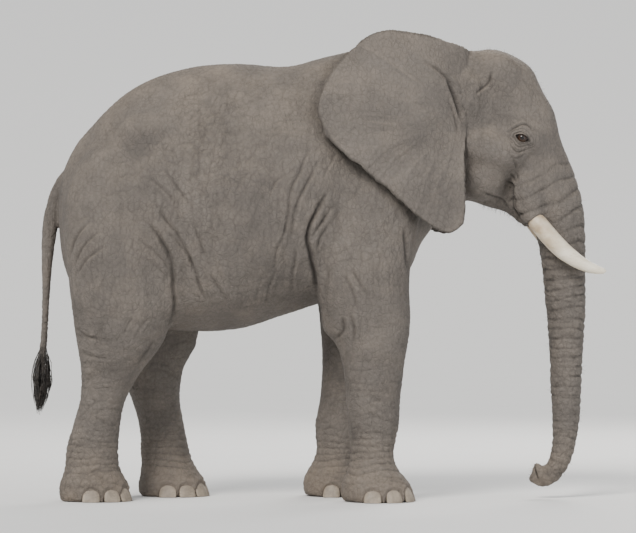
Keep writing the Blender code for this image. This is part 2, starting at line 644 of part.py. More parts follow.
def ear_column(root, edge, place):
    """Points of the ear's middle surface from inside the head to the ear's edge."""
    height = np.clip((root[1] - EAR_ROOT[-1][1]) / (EAR_ROOT[0][1] - EAR_ROOT[-1][1]), 0, 1)
    root_y = EAR_ROOT_Y[1] + (EAR_ROOT_Y[0] - EAR_ROOT_Y[1]) * height
    wave = math.cos(2 * math.pi * EAR_SCALLOPS * place) * math.sin(math.pi * place)
    edge = edge + (root - edge) / np.linalg.norm(root - edge) * EAR_SCALLOP_DEPTH * wave
    column = [Vector((root[0] + EAR_SINK / 2, root_y - EAR_SINK, root[1]))]
    for share in np.linspace(0, 1, EAR_ROWS):
        x, z = root + (edge - root) * share
        reach = math.hypot(x - root[0], (z - root[1]) / EAR_UPRIGHT)
        spread = 1 - math.exp(-reach / EAR_SPREAD_LENGTH)
        spread *= 1 - EAR_BOW * (z - EAR_MIDDLE_Z) ** 2
        hang = np.clip((EAR_ROOT[-1][1] - z) / EAR_HANG_HEIGHT, 0, 1)
        hang *= EAR_HANG * min(1, EAR_HANG_RISE * share)
        y = root_y + EAR_SPREAD * spread + hang + EAR_WAVE * wave * share ** 2
        column.append(Vector((x, y, z)))
    return column


def make_ears(collection, cutters, material):
    outline = spline(EAR_OUTLINE, EAR_LINE_STEPS)
    root = spline(EAR_ROOT, EAR_LINE_STEPS)
    places = np.linspace(0, 1, EAR_COLUMNS)
    columns = [ear_column(at_share(root, place), at_share(outline, place), place)
               for place in places]
    for side, name in ((-1, "right_ear"), (1, "left_ear")):
        mesh = bmesh.new()
        rows = [[mesh.verts.new((p.x, side * p.y, p.z)) for p in column] for column in columns]
        for near, far in zip(rows, rows[1:]):
            for i in range(EAR_ROWS):
                mesh.faces.new((near[i], near[i + 1], far[i + 1], far[i]))
        ear = object_from(mesh, name, collection, material)
        group = ear.vertex_groups.new(name="thickness")
        for i in range(EAR_ROWS + 1):
            share = 1 - (1 - EAR_EDGE_SHARE) * i / EAR_ROWS
            group.add(list(range(i, len(ear.data.vertices), EAR_ROWS + 1)), share, "REPLACE")
        thicken = ear.modifiers.new("thicken", "SOLIDIFY")
        thicken.thickness = EAR_THICKNESS
        thicken.offset = 0
        thicken.vertex_group = group.name
        apply_modifiers(ear)
        trim(ear, ("neck", "head"), cutters)


def make_nails(collection, cutters, material):
    for foot, (leg, turns) in FEET.items():
        rear, height, front, _, half_width, middle = leg[1]
        centre = Vector(((rear + front) / 2, middle, 0))
        for i, degrees in enumerate(turns, start=1):
            turn = -math.radians(degrees)
            out = Vector(((front - rear) / 2 * math.cos(turn), half_width * math.sin(turn), 0))
            facing = Vector((math.cos(turn) / (front - rear), math.sin(turn) / (2 * half_width), 0))
            up = Vector((0, 0, NAIL_LIFT + NAIL_HEIGHT * NAIL_MIDDLE))
            place = Matrix.Translation(centre + out + up)
            place = place @ facing.to_track_quat("X", "Z").to_matrix().to_4x4()
            lean = Matrix.Rotation(math.radians(-NAIL_LEAN), 4, "Y")
            size = Matrix.Diagonal((NAIL_DEPTH, NAIL_HALF_WIDTH, NAIL_HEIGHT * NAIL_RISE, 1))
            mesh = bmesh.new()
            bmesh.ops.create_uvsphere(mesh, u_segments=NAIL_SEGMENTS,
                                      v_segments=NAIL_SEGMENTS // 2, radius=1,
                                      matrix=place @ lean @ size)
            floor = bmesh.ops.bisect_plane(mesh, geom=mesh.verts[:] + mesh.edges[:] + mesh.faces[:],
                                           plane_co=(0, 0, NAIL_LIFT), plane_no=(0, 0, -1),
                                           clear_outer=True)
            rim = [e for e in floor["geom_cut"] if isinstance(e, bmesh.types.BMEdge)]
            if rim:
                bmesh.ops.contextual_create(mesh, geom=rim)
            nail = object_from(mesh, f"{foot}_nail_{i}", collection, material)
            trim(nail, (foot,), cutters)


def make_tail(collection, cutters, hide, hair):
    mesh = bmesh.new()
    add_loft(mesh, TAIL, points=8, steps=1)
    tail = guide(object_from(mesh, "tail", cutters))
    trim(tail, ("hips",), cutters)
    mesh = bmesh.new()
    add_loft(mesh, TAIL_TUFT, points=10, steps=1)
    tuft = object_from(mesh, "tail_tuft", collection, hair)
    for obj, way in ((tail, -1), (tuft, 1)):
        middle = (TAIL[-1][0], 0, TUFT_TOP + way * (TAIL_BLOCK - GAP) / 2)
        box = bmesh.new()
        bmesh.ops.create_cube(box, size=TAIL_BLOCK, matrix=Matrix.Translation(middle))
        cut_away(obj, guide(object_from(box, "end_cutter", cutters)))
    cut_away(tail, slab(*TAIL_CUT, cutters))
    pieces = sorted(loose_parts(tail), key=lambda piece: -box_middle(piece)[2])
    for piece, name in zip(pieces, ("upper_tail", "lower_tail"), strict=True):
        settle(piece, name, collection, hide)


def main():
    clear_scene()
    parts = make_collection("african_elephant")
    cutters = make_collection("cutters", hidden=True)
    hide = make_material("hide", (0.235, 0.205, 0.180), 0.85)
    ivory = make_material("ivory", (0.780, 0.700, 0.560), 0.35)
    horn = make_material("nail", (0.420, 0.360, 0.290), 0.55)
    eyeball = make_material("eye", (0.045, 0.022, 0.012), 0.08)
    hair = make_material("hair", (0.030, 0.026, 0.024), 0.60)
    flesh = make_flesh(cutters)
    part_flesh(flesh, parts, cutters, hide)
    make_tusks(parts, cutters, ivory)
    make_ears(parts, cutters, hide)
    make_nails(parts, cutters, horn)
    make_tail(parts, cutters, hide, hair)
    make_eyes(parts, cutters, eyeball)
    for obj in parts.objects:
        obj.data.shade_smooth()


main()
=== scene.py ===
"""An adult African bush elephant, standing, as a life-size still model.

Metres, +Z up. The animal faces +X with its right side towards -Y. The skin is built from
the same sections as the solids, at a finer grain, then carries folds, wrinkles and lids.
"""
import math

import bmesh
import bpy
import numpy as np
from mathutils import Matrix, Vector
from mathutils.bvhtree import BVHTree

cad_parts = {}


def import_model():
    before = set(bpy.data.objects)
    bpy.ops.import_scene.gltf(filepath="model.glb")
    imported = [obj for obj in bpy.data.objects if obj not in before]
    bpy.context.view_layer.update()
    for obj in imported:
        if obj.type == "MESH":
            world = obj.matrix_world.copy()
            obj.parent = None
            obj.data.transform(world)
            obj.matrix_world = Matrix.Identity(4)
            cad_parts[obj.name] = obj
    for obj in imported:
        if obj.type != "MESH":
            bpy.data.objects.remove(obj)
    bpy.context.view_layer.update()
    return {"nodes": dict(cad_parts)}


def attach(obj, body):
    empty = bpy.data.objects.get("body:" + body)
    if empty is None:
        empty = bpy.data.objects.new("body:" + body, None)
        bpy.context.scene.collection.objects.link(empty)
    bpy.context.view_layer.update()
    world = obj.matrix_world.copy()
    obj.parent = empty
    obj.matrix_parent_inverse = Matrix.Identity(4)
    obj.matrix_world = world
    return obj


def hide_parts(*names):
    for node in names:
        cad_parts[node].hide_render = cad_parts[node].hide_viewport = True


# ---- dimensions of the solids ------------------------------------------------------------
# A section of a loft is the chord between two points of its side view, with its half width:
# (x, z) of the lower or rear point, (x, z) of the upper or front point, half width, middle y.
def upright(rows):
    """Sections whose chord stands upright: x, lower z, upper z, half width."""
    return [(x, low, x, high, half, 0.0) for x, low, high, half in rows]


def level(rows):
    """Sections whose chord lies level: rear x, front x, z, half width, middle y."""
    return [(rear, z, front, z, half, y) for rear, front, z, half, y in rows]


def central(rows):
    """Sections in the middle plane of the body, given without their y."""
    return [(*row, 0.0) for row in rows]


def mirrored(rows):
    """The same sections on the other side of the body."""
    return [(*row[:5], -row[5]) for row in rows]


SHOULDER_SECTIONS = 5   # the last ones of a foreleg, which lie in the shoulder
HIP_SECTIONS = 2        # the last ones of a hind leg, which lie in the hip
TORSO = upright([
    (-1.525, 1.66, 1.80, 0.07),
    (-1.500, 1.42, 1.93, 0.19),
    (-1.440, 1.24, 2.06, 0.29),
    (-1.320, 1.13, 2.205, 0.37),
    (-1.150, 1.06, 2.373, 0.43),
    (-0.950, 1.01, 2.485, 0.49),
    (-0.700, 0.985, 2.548, 0.56),
    (-0.450, 1.005, 2.562, 0.61),
    (-0.200, 1.085, 2.541, 0.60),
    (0.050, 1.160, 2.600, 0.53),
    (0.250, 1.190, 2.648, 0.46),
    (0.420, 1.240, 2.650, 0.40),
    (0.540, 1.360, 2.600, 0.33),
    (0.620, 1.560, 2.500, 0.24),
])
NECK = central([
    (0.400, 1.330, 0.280, 2.655, 0.38),
    (0.560, 1.455, 0.480, 2.630, 0.345),
    (0.690, 1.620, 0.660, 2.600, 0.30),
    (0.830, 1.740, 0.820, 2.605, 0.265),
    (0.960, 1.790, 0.980, 2.600, 0.24),
])
HEAD_AND_TRUNK = central([
    (0.780, 2.30, 0.850, 2.610, 0.13),
    (0.790, 2.12, 0.990, 2.655, 0.195),
    (0.810, 1.97, 1.150, 2.612, 0.220),
    (0.850, 1.87, 1.262, 2.528, 0.228),
    (0.910, 1.83, 1.322, 2.398, 0.222),
    (1.020, 1.83, 1.386, 2.294, 0.208),
    (1.120, 1.85, 1.426, 2.140, 0.192),
    (1.150, 1.79, 1.474, 2.010, 0.182),
    (1.175, 1.73, 1.522, 1.882, 0.178),
    (1.215, 1.675, 1.558, 1.760, 0.174),
    (1.268, 1.600, 1.576, 1.617, 0.164),
    (1.302, 1.481, 1.581, 1.487, 0.162),
    (1.319, 1.369, 1.582, 1.370, 0.148),
    (1.331, 1.216, 1.581, 1.220, 0.134),
    (1.349, 1.034, 1.575, 1.034, 0.119),
    (1.361, 0.828, 1.563, 0.820, 0.106),
    (1.372, 0.616, 1.551, 0.612, 0.093),
    (1.378, 0.470, 1.541, 0.452, 0.084),
    (1.378, 0.339, 1.521, 0.318, 0.076),
    (1.368, 0.262, 1.495, 0.222, 0.070),
    (1.346, 0.204, 1.446, 0.134, 0.064),
    (1.322, 0.181, 1.380, 0.078, 0.058),
    (1.302, 0.186, 1.318, 0.064, 0.052),
    (1.286, 0.200, 1.268, 0.098, 0.044),
    (1.272, 0.190, 1.256, 0.135, 0.030),
])
FIRST_TRUNK_ROW = 6     # of the head and trunk: the rings of the trunk are counted from here
JAW = central([
    (0.860, 1.770, 0.880, 2.02, 0.170),
    (0.950, 1.738, 0.975, 1.98, 0.165),
    (1.029, 1.713, 1.060, 1.93, 0.145),
    (1.100, 1.692, 1.128, 1.875, 0.115),
    (1.150, 1.658, 1.170, 1.770, 0.082),
    (1.192, 1.620, 1.200, 1.690, 0.052),
    (1.222, 1.612, 1.228, 1.652, 0.030),
])
RIGHT_FORELEG = level([
    (0.170, 0.530, -0.05, 0.185, -0.285),
    (0.131, 0.552, 0.04, 0.205, -0.285),
    (0.140, 0.520, 0.126, 0.190, -0.285),
    (0.176, 0.462, 0.205, 0.150, -0.285),
    (0.188, 0.448, 0.270, 0.137, -0.287),
    (0.178, 0.457, 0.360, 0.139, -0.290),
    (0.172, 0.476, 0.450, 0.147, -0.293),
    (0.167, 0.480, 0.560, 0.156, -0.297),
    (0.151, 0.493, 0.708, 0.152, -0.300),
    (0.128, 0.512, 0.859, 0.158, -0.302),
    (0.080, 0.532, 0.960, 0.170, -0.304),
    (0.030, 0.541, 1.090, 0.186, -0.306),
    (-0.015, 0.532, 1.250, 0.195, -0.310),
    (-0.045, 0.550, 1.450, 0.198, -0.312),
    (-0.045, 0.590, 1.650, 0.195, -0.308),
    (0.000, 0.600, 1.850, 0.180, -0.300),
    (0.060, 0.560, 2.050, 0.155, -0.285),
    (0.130, 0.480, 2.250, 0.120, -0.260),
    (0.200, 0.400, 2.420, 0.080, -0.220),
])
LEFT_FORELEG = level([
    (-0.055, 0.290, -0.05, 0.185, 0.285),
    (-0.094, 0.325, 0.04, 0.205, 0.285),
    (-0.083, 0.292, 0.122, 0.190, 0.285),
    (-0.040, 0.248, 0.195, 0.150, 0.285),
    (-0.012, 0.246, 0.270, 0.137, 0.287),
    (-0.018, 0.258, 0.360, 0.139, 0.290),
    (-0.016, 0.284, 0.450, 0.147, 0.293),
    (0.006, 0.316, 0.560, 0.156, 0.297),
    (0.019, 0.356, 0.708, 0.152, 0.300),
    (0.024, 0.402, 0.859, 0.158, 0.302),
    (0.015, 0.448, 0.960, 0.170, 0.304),
    (0.005, 0.500, 1.090, 0.186, 0.306),
    (-0.020, 0.525, 1.250, 0.195, 0.310),
    (-0.045, 0.548, 1.450, 0.198, 0.312),
]) + mirrored(RIGHT_FORELEG[-SHOULDER_SECTIONS:])
RIGHT_HIND_LEG = level([
    (-1.475, -1.130, -0.05, 0.150, -0.250),
    (-1.515, -1.103, 0.040, 0.168, -0.250),
    (-1.507, -1.112, 0.110, 0.160, -0.250),
    (-1.479, -1.155, 0.195, 0.140, -0.252),
    (-1.477, -1.164, 0.265, 0.132, -0.254),
    (-1.464, -1.163, 0.345, 0.130, -0.257),
    (-1.430, -1.151, 0.455, 0.132, -0.262),
    (-1.396, -1.134, 0.560, 0.138, -0.266),
    (-1.380, -1.090, 0.660, 0.150, -0.270),
    (-1.382, -1.025, 0.766, 0.168, -0.276),
    (-1.394, -0.938, 0.865, 0.184, -0.282),
    (-1.415, -0.872, 0.993, 0.200, -0.288),
    (-1.432, -0.846, 1.120, 0.212, -0.290),
    (-1.456, -0.850, 1.324, 0.222, -0.285),
    (-1.482, -0.880, 1.530, 0.226, -0.275),
    (-1.485, -0.930, 1.700, 0.220, -0.260),
    (-1.440, -0.960, 1.880, 0.200, -0.240),
    (-1.330, -0.980, 2.060, 0.150, -0.210),
])
LEFT_HIND_LEG = level([
    (-1.030, -0.690, -0.05, 0.150, 0.250),
    (-1.072, -0.664, 0.040, 0.168, 0.250),
    (-1.066, -0.684, 0.110, 0.160, 0.250),
    (-1.054, -0.738, 0.190, 0.140, 0.252),
    (-1.060, -0.764, 0.265, 0.132, 0.254),
    (-1.061, -0.787, 0.365, 0.130, 0.257),
    (-1.080, -0.809, 0.480, 0.134, 0.262),
    (-1.113, -0.823, 0.590, 0.142, 0.267),
    (-1.160, -0.818, 0.690, 0.154, 0.272),
    (-1.210, -0.792, 0.790, 0.172, 0.278),
    (-1.275, -0.734, 0.880, 0.188, 0.284),
    (-1.345, -0.706, 0.990, 0.202, 0.288),
    (-1.400, -0.710, 1.120, 0.212, 0.290),
    (-1.450, -0.760, 1.324, 0.222, 0.285),
    (-1.482, -0.830, 1.530, 0.226, 0.275),
    (-1.485, -0.910, 1.700, 0.220, 0.260),
]) + mirrored(RIGHT_HIND_LEG[-HIP_SECTIONS:])
# What is lofted: sections, where along the chord they are widest, and how square they are at
# the lower or rear end and at the upper or front end. 2 is an ellipse.
LOFTS = [
    (TORSO, 0.44, 2.3, 1.9),
    (NECK, 0.5, 2.1, 2.1),
    (HEAD_AND_TRUNK, 0.48, 2.1, 2.2),
    (JAW, 0.5, 2.0, 2.2),
    (RIGHT_FORELEG, 0.5, 2.1, 2.1),
    (LEFT_FORELEG, 0.5, 2.1, 2.1),
    (RIGHT_HIND_LEG, 0.5, 2.1, 2.1),
    (LEFT_HIND_LEG, 0.5, 2.1, 2.1),
]
TAIL = central([
    (-1.440, 2.000, -1.400, 1.920, 0.050),
    (-1.520, 1.915, -1.470, 1.860, 0.052),
    (-1.577, 1.805, -1.500, 1.770, 0.048),
    (-1.608, 1.700, -1.520, 1.680, 0.042),
    (-1.625, 1.580, -1.540, 1.570, 0.037),
    (-1.627, 1.405, -1.567, 1.403, 0.031),
    (-1.627, 1.228, -1.580, 1.228, 0.025),
    (-1.629, 1.050, -1.590, 1.050, 0.021),
    (-1.640, 0.880, -1.602, 0.884, 0.019),
    (-1.646, 0.800, -1.612, 0.804, 0.016),
    (-1.652, 0.720, -1.626, 0.722, 0.010),
])
TAIL_SWELL = 0.004      # what the smoothing takes off the tail at its end
# A rounded mass: centre, radii, and its turn about the Y axis in degrees, on each side.
MASSES = [
    ((1.000, -0.195, 2.050), (0.220, 0.130, 0.120), 14),    # cheekbone
    ((1.185, -0.150, 2.125), (0.150, 0.108, 0.130), 20),    # rim of the eye socket
    ((1.170, -0.145, 2.235), (0.130, 0.088, 0.065), 30),    # brow
    ((0.965, -0.155, 1.915), (0.140, 0.115, 0.165), 10),    # jaw muscle
    ((0.845, -0.180, 2.340), (0.140, 0.110, 0.190), 0),     # root of the ear
    ((1.050, -0.095, 2.460), (0.175, 0.125, 0.170), 0),     # crown
    ((0.900, -0.070, 2.455), (0.190, 0.125, 0.188), 0),     # nape
    ((1.238, -0.140, 1.790), (0.100, 0.090, 0.190), -12),   # socket of the tusk
    ((0.095, -0.305, 1.045), (0.080, 0.110, 0.095), 0),     # point of the elbow
    ((0.310, -0.310, 2.080), (0.150, 0.120, 0.330), 15),    # shoulder blade
    ((0.420, -0.330, 1.560), (0.150, 0.130, 0.190), 0),     # point of the shoulder
    ((-0.980, -0.290, 2.120), (0.190, 0.130, 0.160), 0),    # hip bone
    ((-0.960, -0.320, 1.180), (0.140, 0.120, 0.190), 10),   # stifle
    ((1.262, 0.0, 0.113), (0.030, 0.030, 0.024), 20),       # lower finger of the trunk
    ((1.288, 0.0, 0.198), (0.026, 0.030, 0.022), -30),      # upper finger of the trunk
]
# Where the flesh is softened most: behind the first x and above the first z, in full from
# the second ones.
SOFT_X = (0.80, 0.55)
SOFT_Z = (0.45, 0.80)
HEAD_SOFTNESS = 0.4     # of that in full, above the first z below
HEAD_Z = (1.70, 1.90)
SOFT_LOSS = 0.005       # what that takes off the surface
TRUNK_TIP = (1.262, 0, 0.160)
EYE = (1.192, 0.232, 2.120)     # the left one
EYE_RADIUS = 0.035
CORNEA_BULGE = 0.0022   # of the cornea beyond the eyeball
CORNEA_EDGE = 0.72      # how far forward it starts, as a share of the radius
TUSK = [
    # x, z, y and radius along the middle of the right tusk
    (1.215, 1.740, -0.125, 0.040),
    (1.250, 1.675, -0.148, 0.048),
    (1.303, 1.605, -0.178, 0.053),
    (1.368, 1.527, -0.200, 0.053),
    (1.440, 1.455, -0.214, 0.050),
    (1.480, 1.425, -0.220, 0.046),
    (1.520, 1.398, -0.224, 0.041),
    (1.600, 1.360, -0.230, 0.030),
    (1.655, 1.345, -0.232, 0.020),
    (1.677, 1.342, -0.232, 0.011),
    (1.684, 1.341, -0.232, 0.002),
]
TUSK_STEPS = 8
TUSK_SIDES = 48
SHEATH_THICKNESS = 0.018
SHEATH_TAPER = 0.006    # of that, lost towards its edge
SHEATH_STEPS = 4
SHEATH_SIDES = 32
SHEATH_ROWS = 7         # rows of the tusk's path inside its sheath
EAR_OUTLINE = [
    (0.687, 2.703), (0.560, 2.731), (0.430, 2.741), (0.317, 2.724), (0.205, 2.640),
    (0.118, 2.548), (0.058, 2.462), (0.020, 2.385), (-0.003, 2.300), (0.035, 2.165),
    (0.125, 2.045), (0.270, 1.925), (0.420, 1.807), (0.560, 1.672), (0.665, 1.600),
    (0.768, 1.565), (0.836, 1.610), (0.853, 1.700),
]
EAR_ROOT = [(0.868, 2.636), (0.872, 2.440), (0.858, 2.290), (0.850, 2.150)]
EAR_TOP_Z = EAR_ROOT[0][1]
EAR_FOOT_Z = EAR_ROOT[-1][1]
EAR_ROOT_Y = (0.130, 0.285)     # of the top and the foot of the root
EAR_HUB = (0.86, 2.30)  # x and z that the veins run out from
EAR_ROWS = 60
EAR_COLUMNS = 240
EAR_LINE_STEPS = 12     # points of a smooth line, per point of the outline or the root
EAR_SPREAD = 0.345      # how far the back edge stands out beyond the root
EAR_SPREAD_LENGTH = 0.26
EAR_UPRIGHT = 3         # how much slower the ear leaves the body upwards than backwards
EAR_MIDDLE_Z = 2.22     # the height where the ear stands out most
EAR_BOW = 0.75          # share of the spread lost at a metre above or below that
EAR_HANG = 0.045        # how far the front edge below the root stands out
EAR_HANG_HEIGHT = 0.3   # below the root, where that is in full
EAR_HANG_RISE = 3       # how fast it comes in from the root to the edge
EAR_THICKNESS = 0.028
EAR_EDGE_SHARE = 0.55   # of the thickness, at the edge
EAR_SINK = 0.060        # of the root inside the head
EAR_SCALLOPS = 5        # waves of the back edge
EAR_SCALLOP_DEPTH = 0.006
EAR_RAG = 0.0035        # finer waves of the edge
EAR_WAVE = 0.012        # how far the same waves swing in and out
EAR_SKIN = 0.006        # how close to the ear's own shape the skin counts as the ear's
EAR_SHADE_STEPS = 4     # as the line steps, for the shade along the edge
# Angles of the nails round each foot, from straight ahead towards the animal's right.
FEET = {
    "right_forefoot": (RIGHT_FORELEG, (97, 61, 25, -11, -47)),
    "left_forefoot": (LEFT_FORELEG, (100, 63, 27, -9, -45)),
    "right_hind_foot": (RIGHT_HIND_LEG, (92, 56, 22, -12, -46)),
    "left_hind_foot": (LEFT_HIND_LEG, (96, 62, 29, -5, -40)),
}
FOOT_SECTION = 1        # the section of a leg that its nails stand round
NAIL_HALF_WIDTH = 0.050
NAIL_HEIGHT = 0.080
NAIL_GROWTH = 0.16      # how much taller the foremost ones are
NAIL_DEPTH = 0.016
NAIL_LIFT = 0.002       # between the lowest point of a nail and the floor
NAIL_SINK = 0.004       # into the skin
NAIL_MIDDLE = 0.30      # height of a nail's middle, as a share of its height
NAIL_RISE = 0.68        # its half height, as the same share
NAIL_LEAN = 18          # degrees that its top leans back
NAIL_FLARE = 0.25       # how much wider it is at the floor
NAIL_REACH = 0.06       # how far before and behind a nail the skin is shaped

# ---- grain of the skin -------------------------------------------------------------------
RING_POINTS = 72
LOFT_STEPS = 8
TAIL_POINTS = 32
TAIL_STEPS = 6
MASS_SPLITS = 4
BODY_VOXEL = 0.014      # of the first remesh, which joins the flesh
BODY_ROUNDS = 14        # of smoothing after it
BLEND_ROUNDS = 60       # of smoothing that blends the legs and the neck into the body
SKIN_VOXEL = 0.0075     # of the second remesh, which adds ears and tail
SKIN_ROUNDS = 5
SMOOTH_FACTOR = 0.5     # how far a round takes a point towards its neighbours' middle
WEIGHT_STEPS = 10       # steps between the parts left alone and those changed in full
# How far from an eye, and from the trunk's tip, faces are split into four, each time.
FINE_REACHES = ((0.105, 0.075), (0.075, 0.050))
FAR = 9.0               # a distance beyond any that is looked for
CELL_SCATTER = 0.42     # how far the middles of wrinkle cells stray from a grid
# Parts of the body: from and to which x, distance from the middle plane, and z.
ALL = (-FAR, FAR)
ZONES = {
    "crown": ((0.85, 1.42), (-FAR, 0.18), (2.25, FAR)),
    "chin": ((0.95, 1.24), (-FAR, 0.16), (1.50, 1.80)),
    "trunk": ((1.12, FAR), ALL, (-FAR, 2.35)),
    "hairy trunk": ((1.24, FAR), ALL, (0.12, 1.9)),
    "tip of the trunk": ((1.24, 1.34), ALL, (-FAR, 0.26)),
    "ears": ((-0.03, 0.88), (0.12, FAR), (1.5, FAR)),
    "round the ears": ((-0.1, 0.9), ALL, (1.5, FAR)),
    "limbs": ((-FAR, 1.0), ALL, ALL),
    "feet": ((-FAR, 1.0), ALL, (-FAR, 0.14)),
    "tail": ((-FAR, -1.535), ALL, (-FAR, 1.90)),
}

# ---- folds and creases, as lines of the side view ----------------------------------------
# Each is (half width, depth, points), and is pressed into the skin of both sides.
BODY_FOLDS = [
    (0.009, 0.009, [(-0.051, 2.049), (-0.099, 1.933), (-0.152, 1.825), (-0.176, 1.657), (-0.193, 1.548)]),
    (0.010, 0.010, [(0.004, 1.981), (-0.068, 1.849), (-0.116, 1.753), (-0.140, 1.657), (-0.152, 1.512)]),
    (0.012, 0.022, [(0.052, 1.794), (0.004, 1.705), (-0.044, 1.608), (-0.056, 1.512), (-0.032, 1.392),
                    (-0.015, 1.272), (-0.003, 1.176)]),
    (0.009, 0.010, [(0.089, 1.712), (0.028, 1.633), (-0.020, 1.560), (-0.044, 1.464)]),
    (0.008, 0.008, [(0.064, 1.608), (0.016, 1.536), (-0.008, 1.464)]),
    (0.007, 0.005, [(-0.212, 1.885), (-0.248, 1.849), (-0.267, 1.796)]),
    (0.008, 0.007, [(-0.176, 1.657), (-0.200, 1.536), (-0.236, 1.464), (-0.253, 1.344)]),
    (0.008, 0.008, [(-0.123, 1.488), (-0.135, 1.368), (-0.152, 1.224)]),
    (0.008, 0.007, [(0.149, 1.320), (0.197, 1.224), (0.221, 1.127)]),
    (0.008, 0.007, [(0.185, 1.368), (0.257, 1.248), (0.293, 1.188)]),
    (0.010, 0.012, [(0.498, 1.600), (0.510, 1.480), (0.527, 1.335)]),
    (0.007, 0.006, [(0.559, 1.560), (0.546, 1.461), (0.535, 1.374)]),
    (0.010, 0.011, [(0.137, 1.091), (0.144, 1.007), (0.101, 0.947)]),
    (0.009, 0.009, [(0.180, 1.103), (0.204, 1.007), (0.192, 0.911)]),
    (0.008, 0.006, [(0.245, 1.067), (0.238, 0.983), (0.228, 0.923)]),
    (0.009, 0.007, [(-0.974, 1.892), (-0.885, 1.801), (-0.825, 1.729)]),
    (0.009, 0.009, [(-0.950, 1.736), (-0.873, 1.633), (-0.801, 1.536), (-0.741, 1.416), (-0.717, 1.344)]),
    (0.008, 0.006, [(-0.904, 1.954), (-0.811, 1.824), (-0.702, 1.680)]),
    (0.009, 0.007, [(-0.741, 1.657), (-0.681, 1.512), (-0.645, 1.416)]),
    (0.007, 0.005, [(-1.040, 1.530), (-0.926, 1.427), (-0.861, 1.348)]),
    (0.007, 0.004, [(-1.030, 1.430), (-0.940, 1.370), (-0.868, 1.290)]),
    (0.007, 0.005, [(-0.240, 1.360), (-0.275, 1.260), (-0.306, 1.139)]),
    (0.007, 0.004, [(-0.310, 1.320), (-0.345, 1.220), (-0.364, 1.131)]),
    (0.007, 0.005, [(-1.065, 1.085), (-1.100, 1.030), (-1.128, 0.960)]),
    (0.007, 0.005, [(-0.970, 1.085), (-1.020, 1.020), (-1.060, 0.950)]),
    (0.007, 0.004, [(0.105, 2.040), (0.062, 1.950), (0.026, 1.874)]),
    (0.009, 0.009, [(-0.873, 1.572), (-0.777, 1.464), (-0.717, 1.368), (-0.681, 1.248), (-0.657, 1.176)]),
    (0.012, 0.014, [(-1.006, 1.645), (-0.921, 1.536), (-0.861, 1.416), (-0.837, 1.272), (-0.833, 1.127),
                    (-0.861, 0.995)]),
    (0.008, 0.006, [(-0.633, 1.344), (-0.561, 1.224), (-0.525, 1.164)]),
    (0.009, 0.007, [(-1.318, 1.633), (-1.403, 1.536), (-1.439, 1.416)]),
    (0.009, 0.007, [(-1.270, 1.572), (-1.354, 1.488), (-1.415, 1.368)]),
    (0.009, 0.007, [(-1.234, 1.488), (-1.342, 1.404), (-1.403, 1.308)]),
    (0.009, 0.007, [(-1.415, 1.019), (-1.367, 0.983), (-1.258, 0.947)]),
    (0.009, 0.007, [(-1.390, 0.875), (-1.282, 0.839), (-1.205, 0.834)]),
    (0.009, 0.007, [(-0.946, 0.935), (-1.006, 0.863), (-1.042, 0.791)]),
]
HEAD_FOLDS = [
    (0.005, 0.006, [(1.102, 2.152), (1.155, 2.181), (1.201, 2.200), (1.236, 2.187), (1.255, 2.160)]),
    (0.005, 0.006, [(1.122, 2.085), (1.143, 2.056), (1.172, 2.038), (1.207, 2.047), (1.240, 2.060)]),
    (0.005, 0.005, [(1.114, 2.029), (1.137, 2.003), (1.178, 2.003), (1.212, 2.029)]),
    (0.005, 0.006, [(1.137, 1.994), (1.155, 1.959), (1.160, 1.942)]),
    (0.005, 0.006, [(1.125, 1.913), (1.149, 1.884)]),
    (0.005, 0.006, [(1.160, 1.919), (1.169, 1.878)]),
    (0.0055, 0.014, [(1.108, 1.868), (1.137, 1.852), (1.143, 1.800), (1.152, 1.740), (1.170, 1.690),
                    (1.200, 1.668)]),
    (0.006, 0.008, [(0.956, 1.802), (1.032, 1.779), (1.085, 1.761), (1.125, 1.709)]),
    (0.008, 0.008, [(1.013, 2.513), (1.005, 2.469), (0.990, 2.435), (0.956, 2.406), (0.912, 2.369)]),
]
EAR_FOLDS = [
    (0.008, 0.010, [(0.616, 2.562), (0.691, 2.515), (0.749, 2.469), (0.813, 2.393), (0.842, 2.318)]),
    (0.012, 0.024, [(0.749, 2.463), (0.796, 2.364), (0.836, 2.219)]),
    (0.008, 0.009, [(0.755, 2.353), (0.796, 2.248), (0.819, 2.138)]),
]
TIP_FOLDS = [
    (0.0045, 0.011, [(1.276, 0.196), (1.281, 0.168), (1.288, 0.145), (1.301, 0.108)]),
]
# Broad forms of both sides: centre, radii, and how far the skin rises or sinks there.
SOFT_FORMS = [
    ((1.020, 0.220, 2.290), (0.075, 0.100, 0.090), -0.010),     # hollow of the temple
    ((1.060, 0.200, 1.985), (0.100, 0.100, 0.050), -0.006),     # below the cheekbone
    ((-0.700, 0.500, 2.080), (0.150, 0.250, 0.200), -0.016),    # hollow before the hip bone
    ((0.330, 0.450, 2.150), (0.060, 0.200, 0.300), 0.010),      # ridge of the shoulder blade
    ((0.150, 0.450, 1.950), (0.090, 0.200, 0.250), -0.008),     # behind the shoulder blade
    ((-1.180, 0.480, 1.700), (0.110, 0.200, 0.280), -0.010),    # before the thigh bone
    ((-0.500, 0.480, 1.180), (0.300, 0.200, 0.090), 0.006),     # sag of the belly
    ((1.130, 0.110, 1.715), (0.060, 0.050, 0.030), 0.007),      # lower lip
    ((0.092, 0.480, 1.035), (0.050, 0.150, 0.060), 0.014),      # point of the elbow
]
SLANT_ANGLE = math.radians(38)
SLANT = np.array([
    [math.cos(SLANT_ANGLE), 0, math.sin(SLANT_ANGLE)],
    [0, 1, 0],
    [-math.sin(SLANT_ANGLE), 0, math.cos(SLANT_ANGLE)],
])
FOLD_STEPS = 5          # points of a smooth fold, per point of its line
FOLD_REACH = 0.12       # how far round it the skin is looked at
TRUNK_LINE_STEPS = 10
TRUNK_X = 1.3           # its middle, which its skin is looked at round
